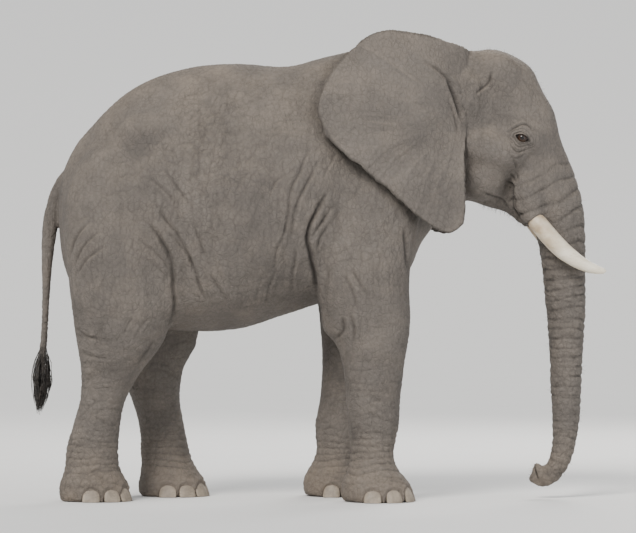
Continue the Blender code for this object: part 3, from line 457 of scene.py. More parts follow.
TRUNK_REACH = 0.32      # how far from the middle of the trunk its rings reach
# Distances along the trunk, with how many rings there are up to each, and how high they are.
RING_COUNTS = ((0, 0.5, 1.0, 1.6, 2.2), (0, 5.5, 13.5, 24.5, 37))
RING_HEIGHTS = ((0.02, 0.16, 0.8, 1.6, 2.0, 2.2), (0, 0.0115, 0.0110, 0.0080, 0.0050, 0.0010))
ANKLE_RING = 0.036
ANKLE_RING_HEIGHT = 0.0048
TAIL_RING = 0.026
TAIL_RING_HEIGHT = 0.0014
NET_DEPTH = 0.0030      # of the finest wrinkles
EAR_NET_DEPTH = 0.0011
# How deep a crease of each kind is where its shade is full.
FOLD_SHADE_DEPTH = 0.020
FACE_SHADE_DEPTH = 0.010
NET_SHADE_DEPTH = 0.009
RING_SHADE_DEPTH = 0.0065
# Painted shade along the ears' rims, and on the skin just behind them.
EAR_RIM_SHADE = 0.50
EAR_BACK_SHADE = 0.40   # of the painted shade on the skin just behind the ear's edge
TIP_CALM = 0.7          # share of the finer relief that the trunk's tip goes without
TIP_CALM_REACH = 0.10
EYE_CALM = 0.9          # the same, of all relief close to the eyes
EYE_CALM_REACH = (0.045, 0.085)
# Pits of the skin: place, direction they go in, radius and depth.
NOSTRILS = [((1.279, side * 0.0125, 0.192), (0.20, 0, -0.98), 0.0065, 0.018) for side in (-1, 1)]

# ---- eyelids -----------------------------------------------------------------------------
LID_TILT = math.radians(-20)    # the front corner of the eye is the lower one
LID_HALF_LENGTH = 0.041
LID_HALF_HEIGHT = 0.0235
UPPER_LID_SHARE = 0.85  # of that height, which the upper lid opens to
UPPER_LID_ROUND = 0.75  # powers of the lids' curves: 0.5 is an ellipse, 1 a parabola
LOWER_LID_ROUND = 0.9
LID_THICKNESS = 0.006
LID_BLEND = 0.010       # over which the lids' dome runs into the face
LID_SLOPE = 0.9         # of that dome, outside the eyeball
LID_RIDGE = 0.0022      # height of the ridge along the opening
LID_RIDGE_AT = 0.004    # its distance from the edge
LID_RIDGE_WIDTH = 0.0035
LID_LOWER = (-0.004, 0.020)     # below the corners: from where on a crease is the lower lid's
LID_RIM = (-0.0022, 0.0006)     # across the edge, from the open eye to the lid in full
LID_REACH = 0.12        # how far round the eye the skin is looked at
LID_FADE = (0.07, 0.11)         # where the lids' forms run out into the face
FACE_Y = 0.12           # the face round the eye lies further out than this
LID_CLEARANCE = 0.010   # of the skin inside the open eye from the eyeball's surface
LID_CREASE_WIDTH = 0.0030
LID_CREASE_SWAY = 0.003
LID_EDGE_SHADE = 0.55   # how dark the edge of the opening is
LID_EDGE_WIDTH = 0.0030
LID_SHADE = 190         # how dark a crease is for its depth
# Creases round the eye: distance from its edge, depth, and whether they lie below it.
LID_CREASES = [(0.0105, 0.0040, False), (0.0200, 0.0032, True), (0.0300, 0.0022, False),
               (0.0330, 0.0030, True), (0.0480, 0.0024, True)]

# ---- hair --------------------------------------------------------------------------------
HAIR_SIDES = 3
TAIL_HAIR_SIDES = 4
TAIL_HAIRS = 300
TAIL_HAIR_STEPS = 12
TAIL_ROOTS = (0.62, 0.905)      # lowest and highest root
TAIL_ROOT_LENGTH = 0.285        # between them
TAIL_ROOT_X = -1.621    # of the highest root
TAIL_ROOT_LEAN = 0.022  # how much further back the lowest one is
TAIL_ROOT_RADIUS = 0.018        # distance of the highest roots from the middle
TAIL_ROOT_TAPER = 0.010         # how much closer the lowest ones are
TAIL_HAIR_ENDS = (0.49, 0.60)   # heights where hairs of the middle end
TAIL_HAIR_RISE = 0.11   # how much higher the outer ones may end
TAIL_HAIR_SHORTEST = 0.11
TAIL_HAIR_BEND = 0.010
TAIL_HAIR_SWAY = 0.004
TAIL_HAIR_RADIUS = 0.0019
TAIL_HAIR_TIP = 0.0002  # added to that all along the hair
# Heights of the tuft, with its radius, and with the x of its middle.
TUFT_RADII = ((0.49, 0.54, 0.60, 0.70, 0.80, 0.87, 0.92),
              (0.006, 0.022, 0.042, 0.064, 0.056, 0.028, 0.018))
TUFT_MIDDLES = ((0.49, 0.65, 0.80, 0.90), (-1.647, -1.632, -1.625, -1.621))
LASHES = 34
LASH_STEPS = 7
LASH_SPAN = 0.92        # share of the lid's length that has lashes
LASH_LENGTH = 0.030
LASH_UNEVEN = 0.008     # how much longer or shorter single ones are
LASH_RADIUS = 0.0007
BRISTLES = 1000
BRISTLE_STEPS = 3
BRISTLE_LENGTHS = (0.012, 0.030)
BRISTLE_SINK = 0.002    # of its root in the skin
BRISTLE_RADIUS = 0.0006
HAIR_TAPER = 0.8        # share of the radius that a lash or bristle loses

# ---- the bake's map and the studio -------------------------------------------------------
CHART_MARGIN = 0.02
SMALLEST_CHART = 600    # faces; smaller ones join a neighbour
CHART_SMOOTHING = 12    # rounds
CHART_MERGES = 4        # rounds
HAIR_PATCH = 0.003      # side of a tuft's place on the map
FLOOR_HALF = 400


# ---- numbers -----------------------------------------------------------------------------
def between(value, low, high):
    """0 at low, 1 at high, straight."""
    return np.clip((value - low) / (high - low), 0, 1)


def ramp(value, low, high):
    """0 at low, 1 at high, eased."""
    t = between(value, low, high)
    return t * t * (3 - 2 * t)


def bell(value, width):
    """1 where the value is 0, and less the further it is from 0, as a share of the width."""
    return np.exp(-((value / width) ** 2))


def distance(points, place):
    return np.linalg.norm(points - np.array(place), axis=1)


def zone(points, name):
    """Whether each point lies in a part of the body."""
    found = np.ones(len(points), bool)
    x, y, z = points.T
    for place, (low, high) in zip((x, np.abs(y), z), ZONES[name]):
        found &= (place > low) & (place < high)
    return found


def scatter(cells, seed):
    """A repeatable number from -1 to 1 for each whole-numbered cell, by mixing its bits."""
    c = cells.astype(np.int64)
    h = c[:, 0] * 73856093 ^ c[:, 1] * 19349663 ^ c[:, 2] * 83492791 ^ (seed * 2654435761)
    h = (h ^ (h >> 13)) * 1274126177 & 0xFFFFFFFF
    h = (h ^ (h >> 16)) * 2246822519 & 0xFFFFFFFF
    return (h ^ (h >> 15)).astype(float) / 0x80000000 - 1


def noise(points, size, seed=0):
    """Smooth noise from -1 to 1 with features about as large as size."""
    p = points / size
    base = np.floor(p)
    f = p - base
    f = f * f * (3 - 2 * f)
    total = np.zeros(len(p))
    for corner in np.ndindex(2, 2, 2):
        weight = np.prod(np.where(corner, f, 1 - f), axis=1)
        total += weight * scatter(base + corner, seed)
    return total


def noises(points, size, seeds):
    """A column of noise for each seed."""
    return np.stack([noise(points, size, seed) for seed in seeds], axis=1)


def cracks(points, size, seed=0):
    """How far each point is from the border between cells, as a share of a cell."""
    p = points / size
    base = np.floor(p)
    first = np.full(len(p), FAR)
    second = np.full(len(p), FAR)
    for step in np.ndindex(3, 3, 3):
        cell = base + np.array(step) - 1
        offset = np.stack([scatter(cell, seed + k) for k in range(3)], axis=1)
        away = np.linalg.norm(cell + 0.5 + CELL_SCATTER * offset - p, axis=1)
        second = np.minimum(second, np.maximum(first, away))
        first = np.minimum(first, away)
    return second - first


def spline(rows, steps):
    """Rows of numbers, smoothly interpolated by their distance apart in the first columns."""
    rows = np.array(rows, float)
    middles = (rows[:, 0:2] + rows[:, 2:4]) / 2 if rows.shape[1] > 4 else rows[:, 0:2]
    lengths = np.linalg.norm(np.diff(middles, axis=0), axis=1)[:, None]
    slopes = np.diff(rows, axis=0) / lengths
    tangents = np.vstack([
        slopes[:1],
        (slopes[:-1] * lengths[1:] + slopes[1:] * lengths[:-1]) / (lengths[1:] + lengths[:-1]),
        slopes[-1:],
    ])
    result = []
    for start, end, here, there, length in zip(rows, rows[1:], tangents, tangents[1:], lengths):
        for t in np.arange(steps) / steps:
            result.append(
                (2 * t**3 - 3 * t**2 + 1) * start
                + (t**3 - 2 * t**2 + t) * length * here
                + (3 * t**2 - 2 * t**3) * end
                + (t**3 - t**2) * length * there
            )
    result.append(rows[-1])
    return np.array(result)


def lengths_along(line):
    """How far along a polyline each of its points is."""
    return np.concatenate([[0], np.cumsum(np.linalg.norm(np.diff(line, axis=0), axis=1))])


def at_share(line, share):
    """The point of a polyline that lies this share of the way along it."""
    lengths = lengths_along(line)
    return np.array([np.interp(share * lengths[-1], lengths, column) for column in line.T])


# ---- meshes ------------------------------------------------------------------------------
def add_object(name, data):
    obj = bpy.data.objects.new(name, data)
    bpy.context.scene.collection.objects.link(obj)
    return obj


def mesh_data(mesh, name):
    data = bpy.data.meshes.new(name)
    mesh.to_mesh(data)
    mesh.free()
    return data


def object_from(mesh, name):
    bmesh.ops.recalc_face_normals(mesh, faces=mesh.faces)
    return add_object(name, mesh_data(mesh, name))


def values(items, key, kind=float, width=1):
    """One property of every item of a mesh, as an array with this many columns."""
    found = np.empty(len(items) * width, kind)
    items.foreach_get(key, found)
    return found if width == 1 else found.reshape(-1, width)


def points_of(obj):
    return values(obj.data.vertices, "co", width=3)


def normals_of(obj):
    return values(obj.data.vertex_normals, "vector", np.float32, 3).astype(float)


def add_map(mesh, uv):
    layer = mesh.uv_layers.new(name="OFBake")
    layer.data.foreach_set("uv", np.array(uv, np.float32).ravel())


def tree_of(obj):
    """What finds the nearest face of an object."""
    return BVHTree.FromPolygons([v.co for v in obj.data.vertices],
                                [p.vertices for p in obj.data.polygons])


def modify(obj, kind, **settings):
    modifier = obj.modifiers.new(kind, kind)
    for key, value in settings.items():
        setattr(modifier, key, value)


def apply_modifiers(obj):
    bpy.context.view_layer.update()
    graph = bpy.context.evaluated_depsgraph_get()
    shaped = bpy.data.meshes.new_from_object(obj.evaluated_get(graph))
    obj.modifiers.clear()
    obj.data = shaped


def remesh(obj, voxel, rounds):
    modify(obj, "REMESH", mode="VOXEL", voxel_size=voxel)
    modify(obj, "SMOOTH", factor=SMOOTH_FACTOR, iterations=rounds)
    apply_modifiers(obj)


def add_group(obj, name, weights):
    """Adds a vertex group whose weights go up in steps."""
    group = obj.vertex_groups.new(name=name)
    levels = np.round(weights * WEIGHT_STEPS).astype(int)
    for level in range(1, WEIGHT_STEPS + 1):
        group.add(np.flatnonzero(levels == level).tolist(), level / WEIGHT_STEPS, "REPLACE")
    return group.name


def bridge(mesh, rings):
    """Skins a row of rings of equal count into one closed body."""
    loops = [[mesh.verts.new(point) for point in ring] for ring in rings]
    for near, far in zip(loops, loops[1:]):
        for i, vertex in enumerate(near):
            j = (i + 1) % len(near)
            mesh.faces.new((vertex, near[j], far[j], far[i]))
    mesh.faces.new(loops[0])
    mesh.faces.new(reversed(loops[-1]))


def section(row, points, wide, low_power, high_power):
    """One ring of a loft. wide is where along the chord the section is at its widest."""
    rear = Vector((row[0], row[5], row[1]))
    chord = Vector((row[2], row[5], row[3])) - rear
    ring = []
    for turn in np.linspace(0, 2 * math.pi, points, endpoint=False):
        along, side = math.cos(turn), math.sin(turn)
        power = 2 / (high_power if along > 0 else low_power)
        along = math.copysign(abs(along) ** power, along) * (1 - wide if along > 0 else wide)
        side = math.copysign(abs(side) ** power, side) * row[4]
        point = rear + chord * (wide + along) + Vector((0, side, 0))
        point.z = max(point.z, 0.0)
        ring.append(point)
    return ring


def add_loft(mesh, rows, wide=0.5, low_power=2.0, high_power=2.0, points=RING_POINTS,
             steps=LOFT_STEPS):
    bridge(mesh, [section(row, points, wide, low_power, high_power)
                  for row in spline(rows, steps)])


def add_mass(mesh, centre, radii, turn):
    for side in (1, -1) if centre[1] else (1,):
        place = Matrix.Translation((centre[0], side * centre[1], centre[2]))
        place = place @ Matrix.Rotation(math.radians(turn), 4, "Y") @ Matrix.Diagonal((*radii, 1))
        bmesh.ops.create_icosphere(mesh, subdivisions=MASS_SPLITS, radius=1, matrix=place)


def make_flesh():
    """The body without ears, as one smooth closed mesh."""
    mesh = bmesh.new()
    for rows, *form in LOFTS:
        add_loft(mesh, rows, *form)
    for mass in MASSES:
        add_mass(mesh, *mass)
    flesh = object_from(mesh, "skin")
    remesh(flesh, BODY_VOXEL, BODY_ROUNDS)
    x, _, z = points_of(flesh).T
    share = between(x, *SOFT_X) * between(z, *SOFT_Z)
    group = add_group(flesh, "body", np.maximum(share, HEAD_SOFTNESS * between(z, *HEAD_Z)))
    modify(flesh, "SMOOTH", factor=SMOOTH_FACTOR, iterations=BLEND_ROUNDS, vertex_group=group)
    modify(flesh, "DISPLACE", strength=SOFT_LOSS, mid_level=0, vertex_group=group)
    apply_modifiers(flesh)
    flesh.vertex_groups.clear()
    return flesh


def ear_column(root, edge, place):
    """Points of the ear's middle surface from inside the head to the ear's edge."""
    root_y = EAR_ROOT_Y[1] + (EAR_ROOT_Y[0] - EAR_ROOT_Y[1]) * between(root[1], EAR_FOOT_Z, EAR_TOP_Z)
    wave = math.cos(2 * math.pi * EAR_SCALLOPS * place) * math.sin(math.pi * place)
    turn = 2 * math.pi * place
    rag = EAR_RAG * (math.sin(13 * turn + 1) + 0.8 * math.sin(21 * turn + 2)) * math.sin(turn / 2)
    inward = (root - edge) / np.linalg.norm(root - edge)
    edge = edge + inward * (EAR_SCALLOP_DEPTH * wave + rag)
    column = [Vector((root[0] + EAR_SINK / 2, root_y - EAR_SINK, root[1]))]
    for share in np.linspace(0, 1, EAR_ROWS):
        x, z = root + (edge - root) * share
        reach = math.hypot(x - root[0], (z - root[1]) / EAR_UPRIGHT)
        spread = 1 - math.exp(-reach / EAR_SPREAD_LENGTH)
        spread *= 1 - EAR_BOW * (z - EAR_MIDDLE_Z) ** 2
        below = np.clip((EAR_FOOT_Z - z) / EAR_HANG_HEIGHT, 0, 1)
        hang = EAR_HANG * min(1, EAR_HANG_RISE * share) * below
        y = root_y + EAR_SPREAD * spread + hang + EAR_WAVE * wave * share ** 2
        column.append(Vector((x, y, z)))
    return column


def make_ear(side):
    """A closed ear, thick at its root and thin at its edge."""
    outline = spline(EAR_OUTLINE, EAR_LINE_STEPS)
    root = spline(EAR_ROOT, EAR_LINE_STEPS)
    mesh = bmesh.new()
    columns = []
    for place in np.linspace(0, 1, EAR_COLUMNS):
        column = ear_column(at_share(root, place), at_share(outline, place), place)
        columns.append([mesh.verts.new((p.x, side * p.y, p.z)) for p in column])
    for near, far in zip(columns, columns[1:]):
        for i in range(EAR_ROWS):
            mesh.faces.new((near[i], near[i + 1], far[i + 1], far[i]))
    ear = object_from(mesh, "ear")
    shares = np.tile(1 - (1 - EAR_EDGE_SHARE) * np.arange(EAR_ROWS + 1) / EAR_ROWS, EAR_COLUMNS)
    group = add_group(ear, "thickness", shares)
    modify(ear, "SOLIDIFY", thickness=EAR_THICKNESS, offset=0, vertex_group=group)
    apply_modifiers(ear)
    return ear


def tube_rings(middles, radii, count):
    rings = []
    for i, (middle, radius) in enumerate(zip(middles, radii)):
        ahead = middles[min(i + 1, len(middles) - 1)] - middles[max(i - 1, 0)]
        turn = ahead.to_track_quat("Z", "Y").to_matrix()
        rings.append([
            middle + turn @ Vector((radius * math.cos(a), radius * math.sin(a), 0))
            for a in np.linspace(0, 2 * math.pi, count, endpoint=False)
        ])
    return rings


def tusk_path(side, steps):
    """Middles and radii along one tusk. side is -1 for the animal's right and 1 for its left."""
    path = spline(TUSK, steps)
    return [Vector((x, -side * y, z)) for x, z, y, _ in path], path[:, 3]


def make_tube(name, middles, radii, sides):
    mesh = bmesh.new()
    bridge(mesh, tube_rings(middles, radii, sides))
    return object_from(mesh, name)


def make_sheath(side):
    """The skin round the root of a tusk."""
    middles, radii = (part[:SHEATH_ROWS] for part in tusk_path(side, SHEATH_STEPS))
    taper = SHEATH_TAPER * np.linspace(0, 1, SHEATH_ROWS) ** 3
    return make_tube("sheath", middles, radii + SHEATH_THICKNESS - taper, SHEATH_SIDES)


def make_tail():
    """The tail's flesh, with what smoothing will take off it added towards its end."""
    swells = np.linspace(0, TAIL_SWELL, len(TAIL))
    rows = [(x0 - swell, z0, x1 + swell, z1, half + swell, y)
            for swell, (x0, z0, x1, z1, half, y) in zip(swells, TAIL)]
    mesh = bmesh.new()
    add_loft(mesh, rows, points=TAIL_POINTS, steps=TAIL_STEPS)
    return object_from(mesh, "tail")


def join(target, others):
    """Adds the meshes of the others to the target, and removes them."""
    mesh = bmesh.new()
    mesh.from_mesh(target.data)
    for other in others:
        mesh.from_mesh(other.data)
        bpy.data.objects.remove(other, do_unlink=True)
    target.data = mesh_data(mesh, target.name)


def refine(obj, spots):
    """Splits the faces near some points into four. Each spot is a point and its reach."""
    mesh = bmesh.new()
    mesh.from_mesh(obj.data)
    chosen = set()
    for face in mesh.faces:
        centre = face.calc_center_median()
        if any((centre - Vector(middle)).length < reach for middle, reach in spots):
            chosen.update(face.edges)
    bmesh.ops.subdivide_edges(mesh, edges=list(chosen), cuts=1, use_grid_fill=True)
    bmesh.ops.triangulate(mesh, faces=[face for face in mesh.faces if len(face.verts) > 4])
    mesh.to_mesh(obj.data)
    mesh.free()


# ---- relief of the skin ------------------------------------------------------------------
def line_distance(points, line):
    """Distance in the side view from each point to a polyline, the share along it, and its side."""
    best = np.full(len(points), FAR)
    share = np.zeros(len(points))
    left = np.zeros(len(points))
    flat = points[:, [0, 2]]
    line = np.array(line)
    for i, (start, end) in enumerate(zip(line, line[1:])):
        along = end - start
        t = np.clip((flat - start) @ along / (along @ along), 0, 1)
        away = np.linalg.norm(flat - start - t[:, None] * along, axis=1)
        nearer = away < best
        best[nearer] = away[nearer]
        share[nearer] = ((i + t) / (len(line) - 1))[nearer]
        offset = flat[nearer] - start
        left[nearer] = np.sign(along[0] * offset[:, 1] - along[1] * offset[:, 0])
    return best, share, left


def press_folds(points, height, folds, where, wander):
    """Presses each fold into the height of the points where it lies, with a raised lip."""
    for width, depth, line in folds:
        smooth = spline(line, FOLD_STEPS) if len(line) > 2 else np.array(line)
        low, high = smooth.min(axis=0) - FOLD_REACH, smooth.max(axis=0) + FOLD_REACH
        near = where & (points[:, 0] > low[0]) & (points[:, 0] < high[0])
        near = np.flatnonzero(near & (points[:, 2] > low[1]) & (points[:, 2] < high[1]))
        if not len(near):
            continue
        away, share, left = line_distance(points[near] + wander[near], smooth)
        middle = share * (1 - share)
        fade = 0.25 * ramp(middle, 0, 0.02) + 0.75 * ramp(middle, 0, 0.20)
        lip = bell(away - 2.3 * width, 1.7 * width) * (0.55 + 0.35 * left)
        height[near] += depth * fade * (0.60 * lip - bell(away, width))


def rings(phase):
    """Rounded swellings between narrow grooves, for a phase that grows by 1 a ring."""
    return np.abs(np.sin(math.pi * phase)) ** 0.45 - 0.82


def wrinkle_lines(points, sizes, width, seed):
    """Long wandering creases, where a stretched noise changes sign: 1 in a crease, 0 outside."""
    return bell(noise(points / sizes, 1.0, seed), width)


def soft_forms(points):
    """Broad hollows and swellings under the skin of both sides."""
    height = np.zeros(len(points))
    folded_over = np.abs(points * (0, 1, 0)) + points * (1, 0, 1)
    for centre, radii, rise in SOFT_FORMS:
        offset = (folded_over - np.array(centre)) / radii
        height += rise * np.exp(-(offset**2).sum(axis=1))
    return height


def trunk_rings(points, normals, body):
    """Rings of the trunk, where the trunk is, and how far along it each point lies."""
    rows = spline(HEAD_AND_TRUNK[FIRST_TRUNK_ROW:], TRUNK_LINE_STEPS)
    line = (rows[:, 0:2] + rows[:, 2:4]) / 2
    away, share, _ = line_distance(points, line)
    reach = np.interp(share * (len(line) - 1), np.arange(len(line)), lengths_along(line))
    trunk = body & zone(points, "trunk") & (away < TRUNK_REACH)
    angle = np.arctan2(points[:, 1], points[:, 0] - TRUNK_X)
    around = np.stack([angle * 2, reach * 6, angle * 0], axis=1)
    phase = np.interp(reach, *RING_COUNTS) + 0.38 * noise(around, 1.0, 5)
    level = np.interp(reach, *RING_HEIGHTS)
    front = 0.50 + 0.50 * ramp(np.abs(normals[:, 0]), 0.1, 0.7)
    uneven = 0.65 + 0.35 * noise(around * 1.7, 1.0, 14)
    bands = level * front * uneven * rings(phase)
    fine = rings(2.0 * phase + 0.4 * noise(points, 0.06, 8))
    bands += 0.35 * level * (0.5 + 0.5 * noise(points, 0.05, 6)) * fine
    return np.where(trunk, bands, 0), trunk, reach


def limb_rings(points, body):
    """Creases round the ankles and wrists, and round the tail."""
    z = points[:, 2]
    ankle = (body & zone(points, "limbs")) * ramp(z, 0.13, 0.19) * ramp(0.52 - z, 0, 0.22)
    phase = z / ANKLE_RING + 0.35 * noise(points, 0.08, 9) + 0.5 * noise(points, 0.2, 10)
    tail = body & zone(points, "tail")
    tail_phase = z / TAIL_RING + 0.4 * noise(points, 0.08, 12)
    return (ankle * ANKLE_RING_HEIGHT * rings(phase)
            + np.where(tail, TAIL_RING_HEIGHT * rings(tail_phase), 0))


def long_wrinkles(points, outward, body, trunk, reach, bent):
    """Creases down the flank and the neck, and across the limbs and the trunk.

    Also gives how much they run across, and a patchy share that the finer net uses too.
    """
    x, _, z = points.T
    patch = 0.5 + 0.5 * noise(points, 0.33, 13)
    other = 0.5 + 0.5 * noise(points, 0.27, 15)
    warped = points + bent * 0.02
    high = ramp(z, 0.95, 1.30)
    flank = high * ramp(1.15 - x, 0, 0.3) * ramp(outward, 0.25, 0.7)
    across = body * (1 - high) * zone(points, "limbs") + trunk * ramp(reach, 0.2, 0.5)
    tall = wrinkle_lines(warped, (0.055, 0.12, 0.33), 0.10, 16) * patch
    tall += 0.6 * wrinkle_lines(warped, (0.036, 0.09, 0.20), 0.12, 17) * other
    slant = wrinkle_lines(warped @ SLANT, (0.075, 0.12, 0.30), 0.09, 18) * other
    flat = wrinkle_lines(warped, (0.20, 0.20, 0.042), 0.10, 19) * patch
    flat += 0.7 * wrinkle_lines(warped, (0.12, 0.12, 0.026), 0.12, 23) * other
    lines = body * flank * (0.0034 * tall + 0.0022 * slant) + 0.0042 * across * flat
    return lines, across, patch


def fine_net(points, on_ear, across, patch):
    """Depth of the net of fine wrinkles between the long ones."""
    warped = points + 0.018 * noises(points, 0.07, (20, 21, 22))
    tall = cracks(warped * (1, 1, 0.50), 0.043, 30)
    flat = cracks(warped * (0.60, 0.60, 1.1), 0.036, 40)
    small = cracks(warped, 0.024, 50)
    strength = np.where(on_ear, EAR_NET_DEPTH, NET_DEPTH * (0.35 + 0.65 * patch))
    large = strength * (1 - ramp(np.where(across > 0.5, flat, tall), 0.0, 0.28))
    return large + 0.40 * strength * (1 - ramp(small, 0.0, 0.32))


def relief(points, normals, on_ear):
    """How far the skin stands out at each point, and the painted shade of its creases: how deep in a
    crease the point lies.
    """
    x, y, _ = points.T
    outward = np.abs(normals[:, 1])
    side = np.sign(y)
    body = ~on_ear
    bent = noises(points, 0.11, (1, 7, 2))
    wander = bent * (0.008, 0, 0.008)
    forms = soft_forms(points) + 0.003 * noise(points, 0.30, 3) + 0.0025 * noise(points, 0.14, 4)
    folds = np.zeros(len(points))
    face_folds = np.zeros(len(points))
    folded = body & (outward > 0.25) & (y * side > 0.05)
    at_tip = zone(points, "tip of the trunk")
    press_folds(points, folds, BODY_FOLDS, folded & (x < 0.9), wander)
    press_folds(points, folds, EAR_FOLDS, on_ear & (normals[:, 1] * side > 0.1), wander * 0.5)
    press_folds(points, face_folds, HEAD_FOLDS, folded & (x > 0.85), wander * 0.3)
    press_folds(points, face_folds, TIP_FOLDS, at_tip, wander * 0)
    bands, trunk, reach = trunk_rings(points, normals, body)
    bands += limb_rings(points, body)
    lines, across, patch = long_wrinkles(points, outward, body, trunk, reach, bent)
    net = fine_net(points, on_ear, across, patch)
    # Painted shade: how far the hide's colour darkens in the folds, wrinkles, net and rings.
    crease = between(-folds, 0, FOLD_SHADE_DEPTH) + between(-face_folds, 0, FACE_SHADE_DEPTH)
    crease += between(lines + net, 0, NET_SHADE_DEPTH) * 0.75
    crease += between(-bands, 0, RING_SHADE_DEPTH) * 0.9
    calm = 1 - TIP_CALM * ramp(TIP_CALM_REACH - distance(points, TRUNK_TIP), 0, 0.05)
    height = body * forms + folds + face_folds + (bands - lines - net) * calm
    return height, np.clip(crease, 0, 1)


def ear_relief(points, outer):
    """Veins of the ear's outer face, and waves that run out from its root through both faces."""
    dx, dz = points[:, 0] - EAR_HUB[0], points[:, 2] - EAR_HUB[1]
    angle = np.arctan2(dz, -dx) + 0.12 * noise(points * (1, 0, 1), 0.25, 60)
    reach = np.hypot(dx, dz)
    spokes = np.stack([angle * 2.6, reach * 2.0, angle * 0], axis=1)
    swell = 0.011 * noise(spokes, 1.0, 62) + 0.005 * noise(spokes * 2.3, 1.0, 63)
    ridge = bell(noise(spokes * (2.1, 0.8, 1), 1.0, 64), 0.16)
    fork = bell(noise(spokes * (4.5, 1.6, 1), 1.0, 65), 0.14) * ramp(reach, 0.30, 0.55)
    height = np.where(outer, swell + 0.0048 * ridge + 0.0030 * fork, -swell)
    return height * ramp(reach, 0.10, 0.40)


def rim_shade(points, normals, on_ear):
    """Painted shade along the rim of the ears, and on the skin just behind them, from 0 to 1."""
    away = np.full(len(points), FAR)
    near = np.flatnonzero(zone(points, "round the ears"))
    away[near] = line_distance(points[near], spline(EAR_OUTLINE, EAR_SHADE_STEPS))[0]
    rim = on_ear * (1 - ramp(away, 0.003, 0.016))
    behind = ~on_ear & (np.abs(normals[:, 1]) > 0.25) & (points[:, 0] < 0.75)
    return EAR_RIM_SHADE * rim + EAR_BACK_SHADE * behind * (1 - ramp(away, 0.010, 0.070))


def shape_lids(points):
    """Draws the skin over the eyeballs and opens it between the lids, and gives the shade there."""
    moved = points.copy()
    shade = np.zeros(len(points))
    outer = EYE_RADIUS + LID_THICKNESS
    for side in (-1, 1):
        dx, dz = points[:, 0] - EYE[0], points[:, 2] - EYE[2]
        depth = points[:, 1] * side
        u = dx * math.cos(LID_TILT) + dz * math.sin(LID_TILT)
        v = -dx * math.sin(LID_TILT) + dz * math.cos(LID_TILT)
        away = np.hypot(u, v)
        dome = EYE[1] + np.sqrt(np.maximum(outer**2 - away**2, 0))
        dome -= LID_SLOPE * np.maximum(away - outer, 0)
        upper = v > 0
        gape = 1 - np.clip(np.abs(u) / LID_HALF_LENGTH, 0, 1) ** 2
        gape = LID_HALF_HEIGHT * gape ** np.where(upper, UPPER_LID_ROUND, LOWER_LID_ROUND)
        gape = gape * np.where(upper, UPPER_LID_SHARE, 1.0)
        beyond = np.abs(u) - LID_HALF_LENGTH
        rim = np.where(beyond > 0, np.hypot(beyond, v), np.abs(v) - gape)
        blend = np.clip(0.5 + (dome - depth) / (2 * LID_BLEND), 0, 1)
        lid = depth + (dome - depth) * blend + LID_BLEND * blend * (1 - blend)
        # ridges and folds that follow the opening
        lid += LID_RIDGE * bell(rim - LID_RIDGE_AT, LID_RIDGE_WIDTH)
        lower = ramp(-v, *LID_LOWER)
        # painted shade along the edge of the opening and in the creases round the eye
        dark = LID_EDGE_SHADE * bell(rim, LID_EDGE_WIDTH)
        for at, deep, below in LID_CREASES:
            sway = LID_CREASE_SWAY * np.sin(u * 45 + at * 300)
            crease = bell(rim - at - sway, LID_CREASE_WIDTH)
            crease *= lower if below else 1 - 0.6 * lower
            lid -= deep * crease
            dark += LID_SHADE * deep * crease
        fade = 1 - ramp(away, *LID_FADE)
        lid = depth + (lid - depth) * fade
        ball = EYE[1] + np.sqrt(np.maximum(EYE_RADIUS**2 - away**2, 0))
        opened = 1 - ramp(rim, *LID_RIM)
        lid = lid + (np.minimum(lid, ball - LID_CLEARANCE) - lid) * opened
        near = (away < LID_REACH) & (depth > FACE_Y)
        moved[near, 1] = side * lid[near]
        shade[near] = (dark * fade)[near]
    return moved, shade


# ---- the bake's map ----------------------------------------------------------------------
def smooth_normals(mesh, normals):
    """Normals averaged over the neighbours of each point, again and again."""
    one, two = values(mesh.edges, "vertices", int, 2).T
    total = len(normals)
    for _ in range(CHART_SMOOTHING):
        normals = normals + np.stack([
            np.bincount(one, column[two], total) + np.bincount(two, column[one], total)
            for column in normals.T
        ], axis=1)
        normals /= np.linalg.norm(normals, axis=1)[:, None]
    return normals


def connected(kinds, pairs):
    """Numbers the connected groups of faces of one kind."""
    labels = np.arange(len(kinds))
    one, two = pairs[:, kinds[pairs[0]] == kinds[pairs[1]]]
    while True:
        lower = np.minimum(labels[one], labels[two])
        fresh = labels.copy()
        np.minimum.at(fresh, labels[one], lower)
        np.minimum.at(fresh, labels[two], lower)
        while True:
            jumped = fresh[fresh]
            if (jumped == fresh).all():
                break
            fresh = jumped
        if (fresh == labels).all():
            return labels
        labels = fresh


def chart_faces(mesh, totals, facing, face_points, on_ear):
    """The axis each face is laid flat along, and the chart that it belongs to."""
    axis = np.argmax(np.abs(facing), axis=1)
    ahead = np.take_along_axis(facing, axis[:, None], 1)[:, 0] > 0
    kinds = (axis * 2 + ahead) * 4 + 2 * on_ear + (face_points[:, 1] > 0) * (axis == 1)
    loop_edges = values(mesh.loops, "edge_index", int)
    loop_faces = np.repeat(np.arange(len(totals)), totals)
    order = np.argsort(loop_edges, kind="stable")
    same = np.flatnonzero(np.diff(loop_edges[order]) == 0)
    pairs = np.stack([loop_faces[order[same]], loop_faces[order[same + 1]]])
    one, two = pairs
    for _ in range(CHART_MERGES):
        labels = connected(kinds, pairs)
        small = np.bincount(labels, minlength=len(labels))[labels] < SMALLEST_CHART
        rim = small[one] & ~small[two]
        other = small[two] & ~small[one]
        host = np.full(len(kinds), -1)
        host[labels[one[rim]]] = kinds[two[rim]]
        host[labels[two[other]]] = kinds[one[other]]
        kinds = np.where(small & (host[labels] >= 0), host[labels], kinds)
    return kinds // 8, connected(kinds, pairs)


